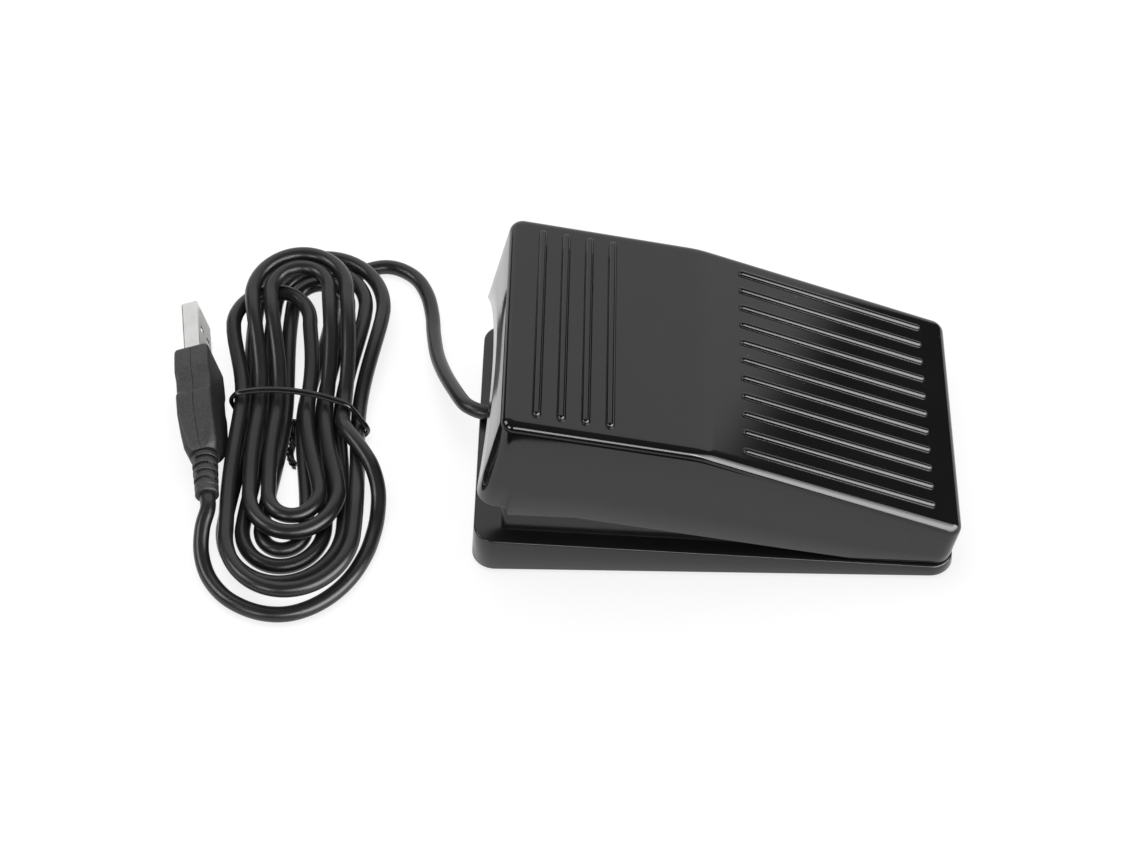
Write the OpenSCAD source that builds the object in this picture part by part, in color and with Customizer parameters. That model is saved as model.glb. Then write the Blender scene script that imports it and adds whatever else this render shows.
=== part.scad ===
// USB foot pedal switch: a ribbed pedal hinged on a wedge-shaped base, with its cord in a tied hank.
// Millimetres. X runs from toe (-) to heel (+), Z is up, origin under the middle of the base.

/* [Base] */
// Length of the base along its underside
base_len = 121; // [112:0.5:136]
// Width of the base along its underside
base_w = 75.2; // [68:0.2:90]
// Height of the band at the toe end
band_toe_h = 10.5; // [8:0.1:13]
// Height of the band at the heel end
band_heel_h = 3.1; // [2.6:0.1:4.5]
// Lean of the band's outer faces in degrees
band_draft = 4; // [1:0.5:6]
// Radius of the base's corners in plan
base_corner_r = 6; // [4:0.5:9]
// Bevel along the band's top edge
band_bevel = 0.4; // [0.2:0.1:0.8]
// Thickness of the base's floor
floor_t = 2; // [1.6:0.1:2.6]
// Width of the deck between the band and the inner wall, along the sides
deck_side = 5; // [4:0.1:6]
// Width of the deck at the toe end
deck_toe = 7.7; // [6:0.1:9]
// Width of the deck at the heel end
deck_heel = 5.5; // [4.5:0.1:7]
// Thickness of the inner wall
inner_wall_t = 2; // [1.6:0.1:3]
// Height of the inner wall's toe end above the underside
inner_wall_toe_h = 25; // [18:0.5:27]
// Height of the inner wall's heel end above the underside
inner_wall_heel_h = 11; // [9:0.5:12]
// Corner radius of the inner wall
inner_wall_r = 1.5; // [1:0.1:2.5]

/* [Feet] */
// Diameter of a rubber foot
foot_d = 10; // [8:0.5:14]
// Depth of the recess that holds a foot
foot_sink = 0.8; // [0.5:0.1:1.2]
// How far a foot stands out below the base
foot_proud = 1; // [0.6:0.1:2]
// Distance of a foot's centre from the base's edges
foot_inset = 11; // [9:0.5:15]

/* [Pedal] */
// Length of the pedal shell along its toe plate
pedal_len = 120.3; // [114:0.1:124]
// How far the pedal's rim stands in from each side of the base
pedal_inset = 0.9; // [0.4:0.1:2]
// Height of the shell from its rim to the toe plate
shell_h = 28.8; // [26:0.2:34]
// Wall thickness of the shell
shell_wall = 2.2; // [1.6:0.1:2.6]
// Distance from the toe end to the crease between the two plates
crease_at = 50; // [44:0.5:56]
// Radius of the soft crease
crease_r = 30; // [10:1:50]
// Fall of the heel plate below the toe plate in degrees
heel_fall = 10.7; // [8:0.1:12]
// Lean of the shell's walls in degrees
shell_draft = 2.2; // [1:0.1:3]
// Radius of the shell's corners in plan
shell_corner_r = 3.6; // [3:0.2:6]
// Radius of the rolled edge round the top
edge_r = 2.6; // [2:0.1:3.5]
// Length of the raised notch at each toe corner
notch_len = 7.7; // [6:0.1:10]
// Distance from the toe end to where the toe skirt runs out
skirt_len = 25; // [18:0.5:32]
// How far the toe skirt hangs below the rim
skirt_drop = 2.6; // [1:0.1:3.2]
// Height of the arch in the back wall
arch_h = 12.5; // [8:0.5:15]
// Distance from the arch to the shell's sides, at the rim
arch_side = 3.7; // [3.4:0.1:12]

/* [Tread ribs] */
// Radius of a half-round tread rib
rib_r = 1.1; // [0.6:0.1:1.5]
// Spacing of the ribs
rib_pitch = 6; // [5:0.1:6.4]
// Number of ribs along the heel plate
long_ribs = 11; // [5:2:11]
// Distance from the crease to the ribs along the heel plate
long_rib_start = 10.7; // [6:0.1:20]
// Length of a rib along the heel plate
long_rib_len = 52.4; // [30:0.1:54]
// Number of ribs across the toe plate
cross_ribs = 4; // [2:1:5]
// Distance from the toe end to the first rib across
cross_rib_start = 9.3; // [7:0.1:14]
// Distance from a rib's end to the shell's sides, at the rim
cross_rib_side = 5.35; // [5:0.05:16]

/* [Hinge] */
// Place of the hinge axis along the base
hinge_x = 38.2; // [34:0.1:42]
// Height of the hinge axis above the floor that the pedal stands on
hinge_z = 10; // [9.6:0.1:10.6]
// Distance from the hinge axis to the shell's heel end
hinge_from_heel = 22.2; // [19:0.1:24]
// Height of the hinge axis above the shell's rim
hinge_above_rim = 4.4; // [4:0.1:5]
// Slope of the toe plate at rest in degrees
rest_tilt = 11.8; // [11:0.1:12.4]
// Diameter of the hinge pin
pin_d = 3; // [2:0.1:3.6]
// Radial clearance of the pedal's ears on the pin
pin_clear = 0.05; // [0.02:0.01:0.1]
// Radius of the hinge ears and posts round the pin
ear_r = 3.6; // [3:0.1:4]
// Thickness of a hinge ear
ear_t = 5; // [3:0.1:6]
// Thickness of a hinge post inside the inner wall
post_t = 3.4; // [2:0.1:5]
// Gap between ear and post
ear_gap = 0.3; // [0.2:0.05:0.6]
// Gap between the pedal's heel edge and the deck at rest
heel_gap = 0.3; // [0.2:0.05:0.6]

/* [Springs] */
// Outer diameter of a return spring
spring_d = 8; // [6:0.2:9]
// Wire diameter of a return spring
spring_wire = 1; // [0.6:0.1:1.2]
// Number of working coils
spring_coils = 5; // [4:1:7]
// Length of a spring at rest
spring_len = 18; // [16:0.5:20]
// Distance of the springs from the hinge axis
spring_from_hinge = 42; // [38:0.5:46]
// Distance of each spring from the middle of the base
spring_y = 17; // [14:0.5:20]
// Wall thickness of the cup that holds a spring's top
cup_wall = 1.4; // [1:0.1:2]
// Depth of the cup
cup_depth = 4; // [2:0.5:6]
// Clearance round a spring in its cup
spring_clear = 0.5; // [0.3:0.1:1]

/* [Switch] */
// Length of the switch case
case_len = 20; // [18:0.5:22]
// Thickness of the switch case
case_t = 6.4; // [5:0.1:7]
// Height of the switch case
case_h = 10.2; // [9:0.1:11]
// Height of the case's underside above the base's floor
case_lift = 7; // [6.5:0.1:8]
// Distance from the hinge axis to the lever's tip
tip_from_hinge = 38; // [36:0.5:40]
// Length of the lever from its pivot to its tip
lever_len = 17.5; // [16:0.1:18]
// Thickness of the lever
lever_t = 0.4; // [0.3:0.1:0.6]
// Width of the lever
lever_w = 3.6; // [3:0.1:4]
// Slope of the lever at rest in degrees
lever_tilt = 12; // [11.5:0.1:14]
// Diameter of the lever's pivot
lever_pivot_d = 1; // [0.8:0.1:1.2]
// Radial clearance of the lever's pivot and of the plunger
switch_clear = 0.05; // [0.02:0.01:0.08]
// Diameter of the plunger
plunger_d = 2.2; // [1.6:0.1:2.6]
// Distance of the plunger from the lever's pivot
plunger_from_pivot = 4.5; // [4:0.1:5.5]
// Gap between the lever and what pushes on it
touch_gap = 0.3; // [0.1:0.05:0.4]

/* [Board] */
// Length of the circuit board
board_len = 28; // [26:0.5:32]
// Gap between the circuit board and what stands beside it
board_gap = 0.6; // [0.4:0.1:1.5]
// Thickness of the circuit board
board_t = 1.6; // [1:0.1:2]
// Height of the board's underside above the base's floor
board_lift = 4; // [3:0.5:6]

/* [Fasteners] */
// Shank diameter of the small screws
screw_d = 2; // [1.6:0.1:2.6]
// Head diameter of the small screws
screw_head_d = 3.8; // [3:0.1:4.4]
// Head height of the small screws
screw_head_h = 1.3; // [1:0.1:2]
// Clearance of a shank in its hole
screw_clear = 0.05; // [0.03:0.01:0.1]

/* [Cord] */
// Diameter of the cord
cord_d = 4; // [3.6:0.1:4.2]
// Step from one run of the hank to the next, side by side
hank_step = 4.8; // [4.75:0.05:5]
// Step from one layer of the hank to the next
hank_rise = 4.85; // [4.8:0.05:5.2]
// Diameter of the twist tie
tie_d = 1.2; // [0.8:0.1:1.2]

/* [Plug] */
// Length of metal shell that stands out of the overmould
shell_out = 17; // [12:0.5:19]
// Thickness of the metal shell, its narrow side
shell_narrow = 4.5; // [4.3:0.1:4.8]
// Width of the metal shell, its broad side
shell_broad = 12; // [11.6:0.1:12.4]
// Sheet thickness of the metal shell
shell_sheet = 0.3; // [0.2:0.05:0.4]
// Length of the overmould
mould_len = 33; // [28:0.5:40]
// Thickness of the overmould
mould_t = 9.4; // [8:0.1:10.5]
// Width of the overmould
mould_w = 16; // [14.5:0.1:18]
// Length of the strain relief
relief_len = 13; // [10:0.5:18]
// Number of rings on the strain relief
relief_rings = 5; // [3:1:6]
// Turn of the plug as it lies, in degrees
plug_yaw = 9; // [0:1:12]
// Roll of the plug about its length, in degrees
plug_roll = 12; // [0:1:14]

/* [Hidden] */
$fn = 32;
far = 200;
eps = 0.01;

// Base
floor_z = foot_proud + floor_t;
deck_slope = atan((band_toe_h - band_heel_h) / base_len);
inner_x0 = -base_len / 2 + deck_toe;
inner_x1 = base_len / 2 - deck_heel;
inner_half = base_w / 2 - deck_side;
room_half = inner_half - inner_wall_t;
function deck_z(x) = foot_proud + band_toe_h - (x + base_len / 2) * tan(deck_slope);

// Pedal, in its own frame: u along the toe plate from the hinge axis, w square to it
pedal_w = base_w - 2 * pedal_inset;
toe_u = hinge_from_heel - pedal_len;
heel_u = hinge_from_heel;
rim_w = -hinge_above_rim;
top_w = rim_w + shell_h;
crease_u = toe_u + crease_at;
trim_w = rim_w - skirt_drop - 6;
function plate_w(u) = top_w - max(0, u - crease_u) * tan(heel_fall);
function wall_in(w) = (w - rim_w) * tan(shell_draft);
function half_w(w) = pedal_w / 2 - wall_in(w);
arch_w = pedal_w - 2 * arch_side;
cross_rib_len = pedal_w - 2 * cross_rib_side;
arch_r = (arch_w * arch_w / 4 + arch_h * arch_h) / (2 * arch_h);

// Hinge
post_y0 = room_half - post_t;
ear_y1 = post_y0 - ear_gap;
ear_y0 = ear_y1 - ear_t;

// Springs
spring_x = hinge_x - spring_from_hinge;
spring_r = (spring_d - spring_wire) / 2;
spring_top = floor_z + spring_len;
cup_r = spring_d / 2 + spring_clear;
seat_t = 2;
peg_h = 4;

// Switch
tip_x = hinge_x - tip_from_hinge;
pivot_x = tip_x - lever_len;
case_x0 = pivot_x - 1.5;
case_z0 = floor_z + case_lift;
case_z1 = case_z0 + case_h;
pivot_z = case_z1 + lever_pivot_d / 2 + 0.1;
plunger_x = pivot_x + plunger_from_pivot;
plunger_gap = 0.1;
plunger_top = pivot_z + plunger_from_pivot * tan(lever_tilt) - lever_t / 2 / cos(lever_tilt)
              - plunger_d / 2 * tan(lever_tilt) - plunger_gap;
plunger_len = 4.2;
plunger_bore = 5.4;
lug_t = 0.8;
post_bottom = pivot_z + lever_len * tan(lever_tilt) + lever_t / 2 / cos(lever_tilt) + touch_gap;
post_len_x = 5;
post_len_y = 7;
switch_wall_t = 3.5;
switch_wall_h = case_lift + 6;
switch_hole_z = case_z0 + 2.6;
switch_hole_dx = 4.75;
switch_mid_x = case_x0 + case_len / 2;

// Cord: places along its route
cord_r = cord_d / 2;
cord_sides = 8;
cord_y = 3.5;
cord_z = deck_z(-base_len / 2) + cord_r + 0.1;
clamp_x = inner_x0 + inner_wall_t + 5;
clamp_len = 5;
clamp_w = 16;
clamp_t = 3.6;
clamp_screw_y = 5.4;
jacket_end = clamp_x + clamp_len + 3;

// Board
board_x0 = inner_x0 + inner_wall_t + 3;
board_y0 = -room_half + 1.5;
board_w = cord_y - clamp_w / 2 - board_gap - board_y0;
board_z = floor_z + board_lift;
board_top = board_z + board_t;
board_hole_in = 3;
boss_d = 5;
board_holes = [[board_x0 + board_hole_in, board_y0 + board_hole_in],
               [board_x0 + board_len - board_hole_in, board_y0 + board_hole_in],
               [board_x0 + board_hole_in, board_y0 + board_w - board_hole_in]];

// Hank: loops wound clockwise from above; a pair of values is for the lower and the upper layer
far_x = [-106, -110.6];
far_w = hank_step * [3.8, 2.875];
far_y = [66.6, 58.4];
far_fan = 5;
near_x = [-107.4, -105.1];
near_w = hank_step * [3.92, 3.1];
near_y = [-47.8, -35.2];
near_fan = 5.3;
waist_x = [-107.7, -107.7];
waist_w = hank_step * [3.25, 2.55];
waist_y = 10.5;
waist_lift = tie_d + 0.3;
arc_tall = 1.15;
climb_loop = 3;
climb_short = 7;
climb_reach = 13;
hank_z = cord_r;
hank_start = 1 / 6;
hank_end = 2 * climb_loop + 1 / 4;
loop_rings = 24;
hank_sides = 6;

// Plug
plug_x = -135.1;
plug_y = 23.9;
plug_z = mould_w / 2 * cos(plug_roll) + mould_t / 2 * sin(plug_roll);
shell_in = 4;
relief_d0 = 6.8;
relief_d1 = 6;
relief_end = mould_len + relief_len;
function plug_point(y, z) = [plug_x - y * sin(plug_yaw), plug_y + y * cos(plug_yaw), plug_z + z];

// Routes: points chosen along the cord as it lies
lead_route = [[-53, cord_y, cord_z], [-56.5, cord_y, cord_z], [-59.5, 4.1, 13.6], [-62.2, 5.7, 13.3],
              [-64.2, 8.2, 12.5], [-66.8, 14, 10.6], [-70, 22.5, 7.8], [-72.5, 31.5, 5], [-74, 41, 3],
              [-74.8, 48.5, 2.1], [-76.5, 56, 2], [-79.5, 62, 2], [-83.7, 65.6, 2], [-88, 67, 2], [-92.4, 66.2, 2], [-96.4, 63.8, 2], [-99.8, 60, 2]];
tail_route = [[-94, 0.4, 9.6], [-90.4, -4.8, 9.5], [-86.9, -10.4, 8.2], [-85, -16.4, 5.5], [-85, -23, 2.9],
              [-85.9, -29, 2], [-87.2, -34.4, 2], [-90, -41, 2], [-94, -46.6, 2], [-99, -50.8, 2],
              [-104.6, -53.2, 2], [-110.4, -53.4, 2], [-116.2, -51.6, 2], [-121.6, -48, 2],
              [-126, -42.4, 2.4], [-128.2, -36.4, 4.2], [-128.3, -30.6, 7]];

// Smooth curve through a list of points, k steps from each to the next, kept on the floor
function on_floor(v) = [v[0], v[1], max(v[2], cord_r)];
function curve(p, k) = concat([for (i = [0:len(p) - 2], j = [0:k - 1])
    let (a = p[max(i - 1, 0)], b = p[i], c = p[i + 1], d = p[min(i + 2, len(p) - 1)], f = j / k)
    on_floor(b + f * (c - a) / 2 + f * f * (a - 2.5 * b + 2 * c - d / 2)
             + f * f * f * (1.5 * b - a / 2 - 1.5 * c + d / 2))], [p[len(p) - 1]]);

// Tube along a list of points: one closed skin of triangles
function unit(v) = v / norm(v);
function along(p, i) = unit(p[min(i + 1, len(p) - 1)] - p[max(i - 1, 0)]);
function side_of(t) = unit(cross(t, [0, 0, 1]));
function ring(p, i, r, n) = let (t = along(p, i), s = side_of(t), u = cross(s, t))
    [for (k = [0:n - 1]) p[i] + r * (cos(360 * k / n) * s + sin(360 * k / n) * u)];
function skin(m, n) = [for (i = [0:m - 2], k = [0:n - 1], h = [0, 1])
    let (a = i * n + k, b = i * n + (k + 1) % n) h == 0 ? [a, b, b + n] : [a, b + n, a + n]];
function cap(first, n, flip) = [for (k = [1:n - 2])
    flip ? [first, first + k + 1, first + k] : [first, first + k, first + k + 1]];
module tube(p, r, n) {
    m = len(p);
    points = [for (i = [0:m - 1]) each ring(p, i, r, n)];
    polyhedron(points, concat(skin(m, n), cap(0, n, true), cap((m - 1) * n, n, false)));
}

// Rounded rectangle from x0 to x1, centred on Y
module plan(x0, x1, half, r) {
    translate([x0, -half + r]) square([x1 - x0, 2 * (half - r)]);
    translate([x0 + r, -half]) square([x1 - x0 - 2 * r, 2 * half]);
    for (x = [x0 + r, x1 - r], s = [-1, 1]) translate([x, s * (half - r)]) circle(r);
}

// Round bar with ball ends, lying along Z from 0 to l
module capsule(r, l) {
    rotate_extrude() intersection() {
        union() {
            translate([0, r]) circle(r);
            translate([0, l - r]) circle(r);
            translate([-r, r]) square([2 * r, l - 2 * r]);
        }
        square([r, l]);
    }
}

// Screw with its head resting on z = 0 and its shank going down
module screw(l) {
    translate([0, 0, -l]) cylinder(d = screw_d, h = l);
    difference() {
        cylinder(d = screw_head_d, h = screw_head_h);
        for (a = [0, 90]) rotate(a) translate([-screw_head_d * 0.3, -0.25, screw_head_h - 0.6])
            cube([screw_head_d * 0.6, 0.5, 1]);
    }
}

// Side view extruded across the whole width
module across(width) {
    translate([0, width / 2, 0]) rotate([90, 0, 0]) linear_extrude(width) children();
}

// Base tray: wedge-shaped band with a sloping deck, inner wall and posts
module band() {
    hull() for (sx = [-1, 1], sy = [-1, 1]) {
        cx = sx * (base_len / 2 - base_corner_r);
        cy = sy * (base_w / 2 - base_corner_r);
        top_r = base_corner_r - (deck_z(cx) - foot_proud) * tan(band_draft);
        translate([cx, cy, foot_proud]) cylinder(r = base_corner_r, h = eps);
        translate([cx, cy, deck_z(cx)]) rotate([0, deck_slope, 0]) translate([0, 0, -band_bevel])
            cylinder(r1 = top_r, r2 = top_r - band_bevel, h = band_bevel);
    }
}

module inner_wall() {
    intersection() {
        translate([0, 0, floor_z - 0.5]) linear_extrude(far) plan(inner_x0, inner_x1, inner_half, inner_wall_r);
        across(base_w) polygon([[inner_x0 - 1, 0], [inner_x1 + 1, 0],
                                [inner_x1 + 1, foot_proud + inner_wall_heel_h],
                                [inner_x0 - 1, foot_proud + inner_wall_toe_h]]);
    }
}

module room() {
    translate([0, 0, floor_z]) linear_extrude(far)
        plan(inner_x0 + inner_wall_t, inner_x1 - inner_wall_t, room_half, inner_wall_r / 2);
}

module hinge_posts() {
    for (s = [-1, 1]) translate([hinge_x, s * (post_y0 + (post_t + 0.5) / 2), 0]) {
        translate([0, 0, hinge_z]) rotate([90, 0, 0]) cylinder(r = ear_r, h = post_t + 0.5, center = true);
        translate([-ear_r, -(post_t + 0.5) / 2, floor_z - 0.5]) cube([2 * ear_r, post_t + 0.5, hinge_z - floor_z + 0.5]);
    }
}

module foot_places() {
    for (sx = [-1, 1], sy = [-1, 1])
        translate([sx * (base_len / 2 - foot_inset), sy * (base_w / 2 - foot_inset), 0]) children();
}

module spring_places() {
    for (s = [-1, 1]) translate([spring_x, s * spring_y, 0]) children();
}

module switch_holes() {
    for (s = [-1, 1]) translate([switch_mid_x + s * switch_hole_dx, 0, switch_hole_z]) rotate([90, 0, 0]) children();
}

module clamp_screw_places() {
    for (s = [-1, 1]) translate([clamp_x + clamp_len / 2, cord_y + s * clamp_screw_y, cord_z]) children();
}

module cord_bore(x0, x1) {
    translate([x0, cord_y, cord_z]) rotate([0, 90, 0]) cylinder(r = cord_r, h = x1 - x0);
}

module base_tray() {
    color("#1b1b1b") difference() {
        union() {
            difference() {
                union() {
                    band();
                    inner_wall();
                }
                room();
            }
            hinge_posts();
            spring_places() translate([0, 0, floor_z - 0.5])
                cylinder(r = spring_r - spring_wire / 2 - spring_clear / 2, h = peg_h + 0.5);
            translate([case_x0, case_t / 2, floor_z - 0.5]) cube([case_len, switch_wall_t, switch_wall_h + 0.5]);
            for (s = [0, 1]) translate([case_x0 + s * (case_len - 3), -case_t / 2, floor_z - 0.5])
                cube([3, case_t + 0.5, case_lift + 0.5]);
            for (p = board_holes) translate([p[0], p[1], floor_z - 0.5]) cylinder(d = boss_d, h = board_lift + 0.5);
            translate([clamp_x, cord_y - clamp_w / 2, floor_z - 0.5])
                cube([clamp_len, clamp_w, cord_z - floor_z + 0.3]);
        }
        foot_places() translate([0, 0, foot_proud - 1]) cylinder(d = foot_d, h = foot_sink + 1);
        translate([hinge_x, 0, hinge_z]) rotate([90, 0, 0]) cylinder(d = pin_d, h = base_w, center = true);
        cord_bore(inner_x0 - 1, clamp_x + clamp_len + 1);
        translate([inner_x0 - 1, cord_y - cord_r, cord_z]) cube([inner_wall_t + 2, cord_d, far]);
        switch_holes() cylinder(d = screw_d + 2 * screw_clear, h = 2 * (case_t / 2 + switch_wall_t - 0.8), center = true);
        for (p = board_holes) translate([p[0], p[1], floor_z]) cylinder(d = screw_d + 2 * screw_clear, h = far);
        clamp_screw_places() translate([0, 0, -6]) cylinder(d = screw_d + 2 * screw_clear, h = far);
    }
}

// Rubber feet: four discs glued in their recesses
module rubber_feet() {
    color("#2a2a2a") foot_places() cylinder(d = foot_d, h = foot_proud + foot_sink);
}

// Hinge pin: steel rod held by the posts, with the pedal's ears running on it
module hinge_pin() {
    color("silver") translate([hinge_x, 0, hinge_z]) rotate([90, 0, 0])
        cylinder(d = pin_d, h = 2 * inner_half, center = true);
}

// Return springs: closed ends, open working coils
spring_turn_rings = 8;
spring_dead = 1;
spring_pitch = (spring_len - spring_wire * (2 * spring_dead + 1)) / spring_coils;
spring_turns = spring_coils + 2 * spring_dead;
function spring_rise(t) = spring_wire / 2 + spring_wire * 1.04 * min(t, spring_dead)
    + (spring_pitch - spring_wire * 0.08 / spring_coils) * max(0, min(t - spring_dead, spring_coils))
    + spring_wire * 1.04 * max(0, t - spring_dead - spring_coils);
function spring_path() = [for (i = [0:spring_turns * spring_turn_rings]) let (t = i / spring_turn_rings)
    [spring_r * cos(360 * t), spring_r * sin(360 * t), floor_z + spring_rise(t)]];

module return_springs() {
    color("silver") spring_places() tube(spring_path(), spring_wire / 2 - 0.02, 6);
}

// Snap-action switch: case with a lever on top and blades below
module switch_case() {
    color("#303030") difference() {
        union() {
            translate([case_x0, -case_t / 2, case_z0]) cube([case_len, case_t, case_h]);
            for (s = [-1, 1]) translate([pivot_x, s * (lever_w / 2 + 0.2 + lug_t / 2), 0]) {
                translate([-1.1, -lug_t / 2, case_z1 - 0.5]) cube([2.2, lug_t, pivot_z - case_z1 + 0.5]);
                translate([0, 0, pivot_z]) rotate([90, 0, 0]) cylinder(r = 1.1, h = lug_t, center = true);
            }
        }
        translate([pivot_x, 0, pivot_z]) rotate([90, 0, 0])
            cylinder(d = lever_pivot_d + 2 * switch_clear, h = case_t + 2, center = true);
        translate([plunger_x, 0, case_z1 - plunger_bore])
            cylinder(d = plunger_d + 2 * switch_clear, h = plunger_bore + 1);
        switch_holes() cylinder(d = screw_d + 2 * screw_clear, h = case_t + 2, center = true);
    }
}

terminal_w = 3.2;
terminal_t = 0.5;
terminal_h = 6;
terminal_x = [for (f = [-1, 0, 1]) switch_mid_x + f * 4.6];
module switch_terminals() {
    color("#c9b37a") for (x = terminal_x)
        translate([x - terminal_t / 2, -terminal_w / 2, case_z0 - terminal_h]) cube([terminal_t, terminal_w, terminal_h]);
}

module switch_screws() {
    color("silver") for (s = [-1, 1])
        translate([switch_mid_x + s * switch_hole_dx, -case_t / 2, switch_hole_z]) rotate([90, 0, 0])
            screw(case_t + switch_wall_t - 1);
}

// Switch lever: spring strip with a rolled pivot
module switch_lever() {
    color("silver") translate([pivot_x, 0, pivot_z]) {
        rotate([90, 0, 0]) cylinder(d = lever_pivot_d, h = case_t - 0.4, center = true);
        rotate([0, -lever_tilt, 0]) translate([0, -lever_w / 2, -lever_t / 2]) cube([lever_len, lever_w, lever_t]);
    }
}

module switch_plunger() {
    color("#b04030") translate([plunger_x, 0, plunger_top - plunger_len]) cylinder(d = plunger_d, h = plunger_len);
}

// Circuit board and the parts soldered to it
module circuit_board() {
    color("#1f6b3a") difference() {
        translate([board_x0, board_y0, board_z]) cube([board_len, board_w, board_t]);
        for (p = board_holes) translate([p[0], p[1], 0]) cylinder(d = screw_d + 2 * screw_clear, h = far);
    }
}

chip_len = 12.8;
chip_w = 7.5;
chip_t = 2.3;
chip_x = board_x0 + board_len / 2 + 2;
chip_y = board_y0 + board_w / 2 - 2;
module controller_chip() {
    color("#101010") translate([chip_x - chip_len / 2, chip_y - chip_w / 2, board_top + 0.2])
        cube([chip_len, chip_w, chip_t]);
    color("silver") for (i = [0:9], s = [-1, 1])
        translate([chip_x - 5.9 + i * 1.27, chip_y + s * (chip_w / 2 + 0.5) - 0.6, board_top]) cube([0.4, 1.2, 1]);
}

module crystal() {
    color("silver") translate([board_x0 + 4.8, board_y0 + board_w / 2, board_top]) rotate(90) linear_extrude(3.5)
        plan(-5.4, 5.4, 2.3, 2.2);
}

module capacitors() {
    color("#c8a060") for (i = [0:2])
        translate([chip_x - 6 + i * 5, board_y0 + 1.6, board_top]) cube([2, 1.25, 1.2]);
}

header_len = 10;
header_w = 4.8;
header_h = 6;
header_x = board_x0 + 14;
header_y = board_y0 + board_w - 4;
module wire_header() {
    color("#e8e4d8") difference() {
        translate([header_x - header_len / 2, header_y - header_w / 2, board_top]) cube([header_len, header_w, header_h]);
        translate([header_x - header_len / 2 + 0.8, header_y - header_w / 2 + 0.8, board_top + 1.5])
            cube([header_len - 1.6, header_w - 1.6, header_h]);
    }
}

module board_screws() {
    color("silver") for (p = board_holes) translate([p[0], p[1], board_top]) screw(board_t + board_lift - 0.5);
}

// Cord clamp: bar across the jacket, screwed to its block in the base
module cord_clamp() {
    color("#1b1b1b") difference() {
        translate([clamp_x, cord_y - clamp_w / 2, cord_z + 0.2]) cube([clamp_len, clamp_w, clamp_t]);
        cord_bore(clamp_x - 1, clamp_x + clamp_len + 1);
        clamp_screw_places() cylinder(d = screw_d + 2 * screw_clear, h = far);
    }
}

module clamp_screws() {
    color("silver") clamp_screw_places() translate([0, 0, 0.2 + clamp_t]) screw(clamp_t + 5);
}

// Cores of the cord, from the jacket's end down into the header
core_d = 0.9;
core_colours = ["#b02020", "#e8e8e8", "#208040", "#181818"];
module cord_cores() {
    for (i = [0:3]) {
        y = cord_y + (i < 2 ? -0.7 : 0.7);
        z = cord_z + (i % 2 == 0 ? -0.7 : 0.7);
        x = header_x + (i - 1.5) * 1.9;
        top = board_top + header_h;
        color(core_colours[i]) tube([[jacket_end, y, z], [jacket_end + 0.8, y, z], [x - 0.2, y - 1.2, z + 0.3],
                                     [x, (y + header_y) / 2, max(z, top) + 1.6], [x, header_y + 1.2, top + 1.2],
                                     [x, header_y, board_top + 2.2]], core_d / 2, 6);
    }
}

// Two wires from the switch's blades to the board
module switch_wires() {
    for (i = [0, 1]) {
        tx = terminal_x[2 * i];
        by = board_y0 + board_w - 3 - i * 3;
        color(i == 0 ? "#b02020" : "#181818")
            tube([[tx, -terminal_w / 2 - 0.5, case_z0 - terminal_h + 1.5 + i * 0.01],
                  [tx - 1, -terminal_w / 2 - 3 - i, case_z0 - terminal_h + 1.8],
                  [(tx + board_x0 + board_len) / 2, (by - 4) / 2, board_top + 2 + i],
                  [board_x0 + board_len + 2, by + 0.5, board_top + 2.2],
                  [board_x0 + board_len - 1.5, by, board_top + 0.5]], core_d / 2, 6);
    }
}

// Pedal shell: solid of the outer form, set in by g for the inner one
module rolled_corner(r, e) {
    rotate_extrude($fn = 32) intersection() {
        translate([r - e, 0]) circle(e, $fn = 24);
        translate([0, -e]) square([r, 2 * e]);
    }
}

module shell_form(g) {
    e = max(edge_r - g, 0.4);
    r = max(shell_corner_r - g, e + 0.2);
    heel_c = heel_u - wall_in(plate_w(heel_u)) - g - r;
    heel_w = plate_w(heel_c) - (e + g) / cos(heel_fall);
    crease_c = crease_u - crease_r * tan(heel_fall / 2);
    hull() {
        for (s = [-1, 1]) {
            translate([toe_u + wall_in(top_w) + g + r, s * (half_w(top_w) - g - r), top_w - g - e])
                rolled_corner(r, e);
            for (f = [0, 0.5, 1]) {
                cw = top_w - crease_r + (crease_r - g - e) * cos(f * heel_fall);
                translate([crease_c + (crease_r - g - e) * sin(f * heel_fall), s * (half_w(cw) - g - e), cw])
                    sphere(e, $fn = 24);
            }
            translate([heel_c, s * (half_w(heel_w) - g - r), heel_w]) rotate([0, heel_fall, 0]) rolled_corner(r, e);
            for (u = [toe_u + wall_in(trim_w) + g + r, heel_u - wall_in(trim_w) - g - r])
                translate([u, s * (half_w(trim_w) - g - r), trim_w]) cylinder(r = r, h = eps);
        }
    }
}

// Everything below the shell's lower edge, in the pedal's frame
module below_rim() {
    across(far) polygon([[toe_u - 5, rim_w], [toe_u + notch_len, rim_w],
                         [toe_u + notch_len, rim_w - skirt_drop], [toe_u + skirt_len, rim_w],
                         [heel_u + 9, rim_w], [heel_u + 9, -far], [toe_u - 5, -far]]);
}

module arch() {
    translate([toe_u - 5, 0, rim_w + arch_h - arch_r]) rotate([0, 90, 0])
        cylinder(r = arch_r, h = 5 + shell_wall + wall_in(top_w) + 2, $fn = 96);
}

module tread_ribs() {
    mid = (long_ribs - 1) / 2;
    u0 = crease_u + long_rib_start;
    for (i = [-mid:mid]) translate([u0, i * rib_pitch, plate_w(u0)])
        rotate([0, 90 + heel_fall, 0]) capsule(rib_r, long_rib_len);
    for (i = [0:cross_ribs - 1]) translate([toe_u + cross_rib_start + i * rib_pitch, cross_rib_len / 2, top_w])
        rotate([90, 0, 0]) capsule(rib_r, cross_rib_len);
}

module in_pedal() {
    translate([hinge_x, 0, hinge_z]) rotate([0, rest_tilt, 0]) children();
}

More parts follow.
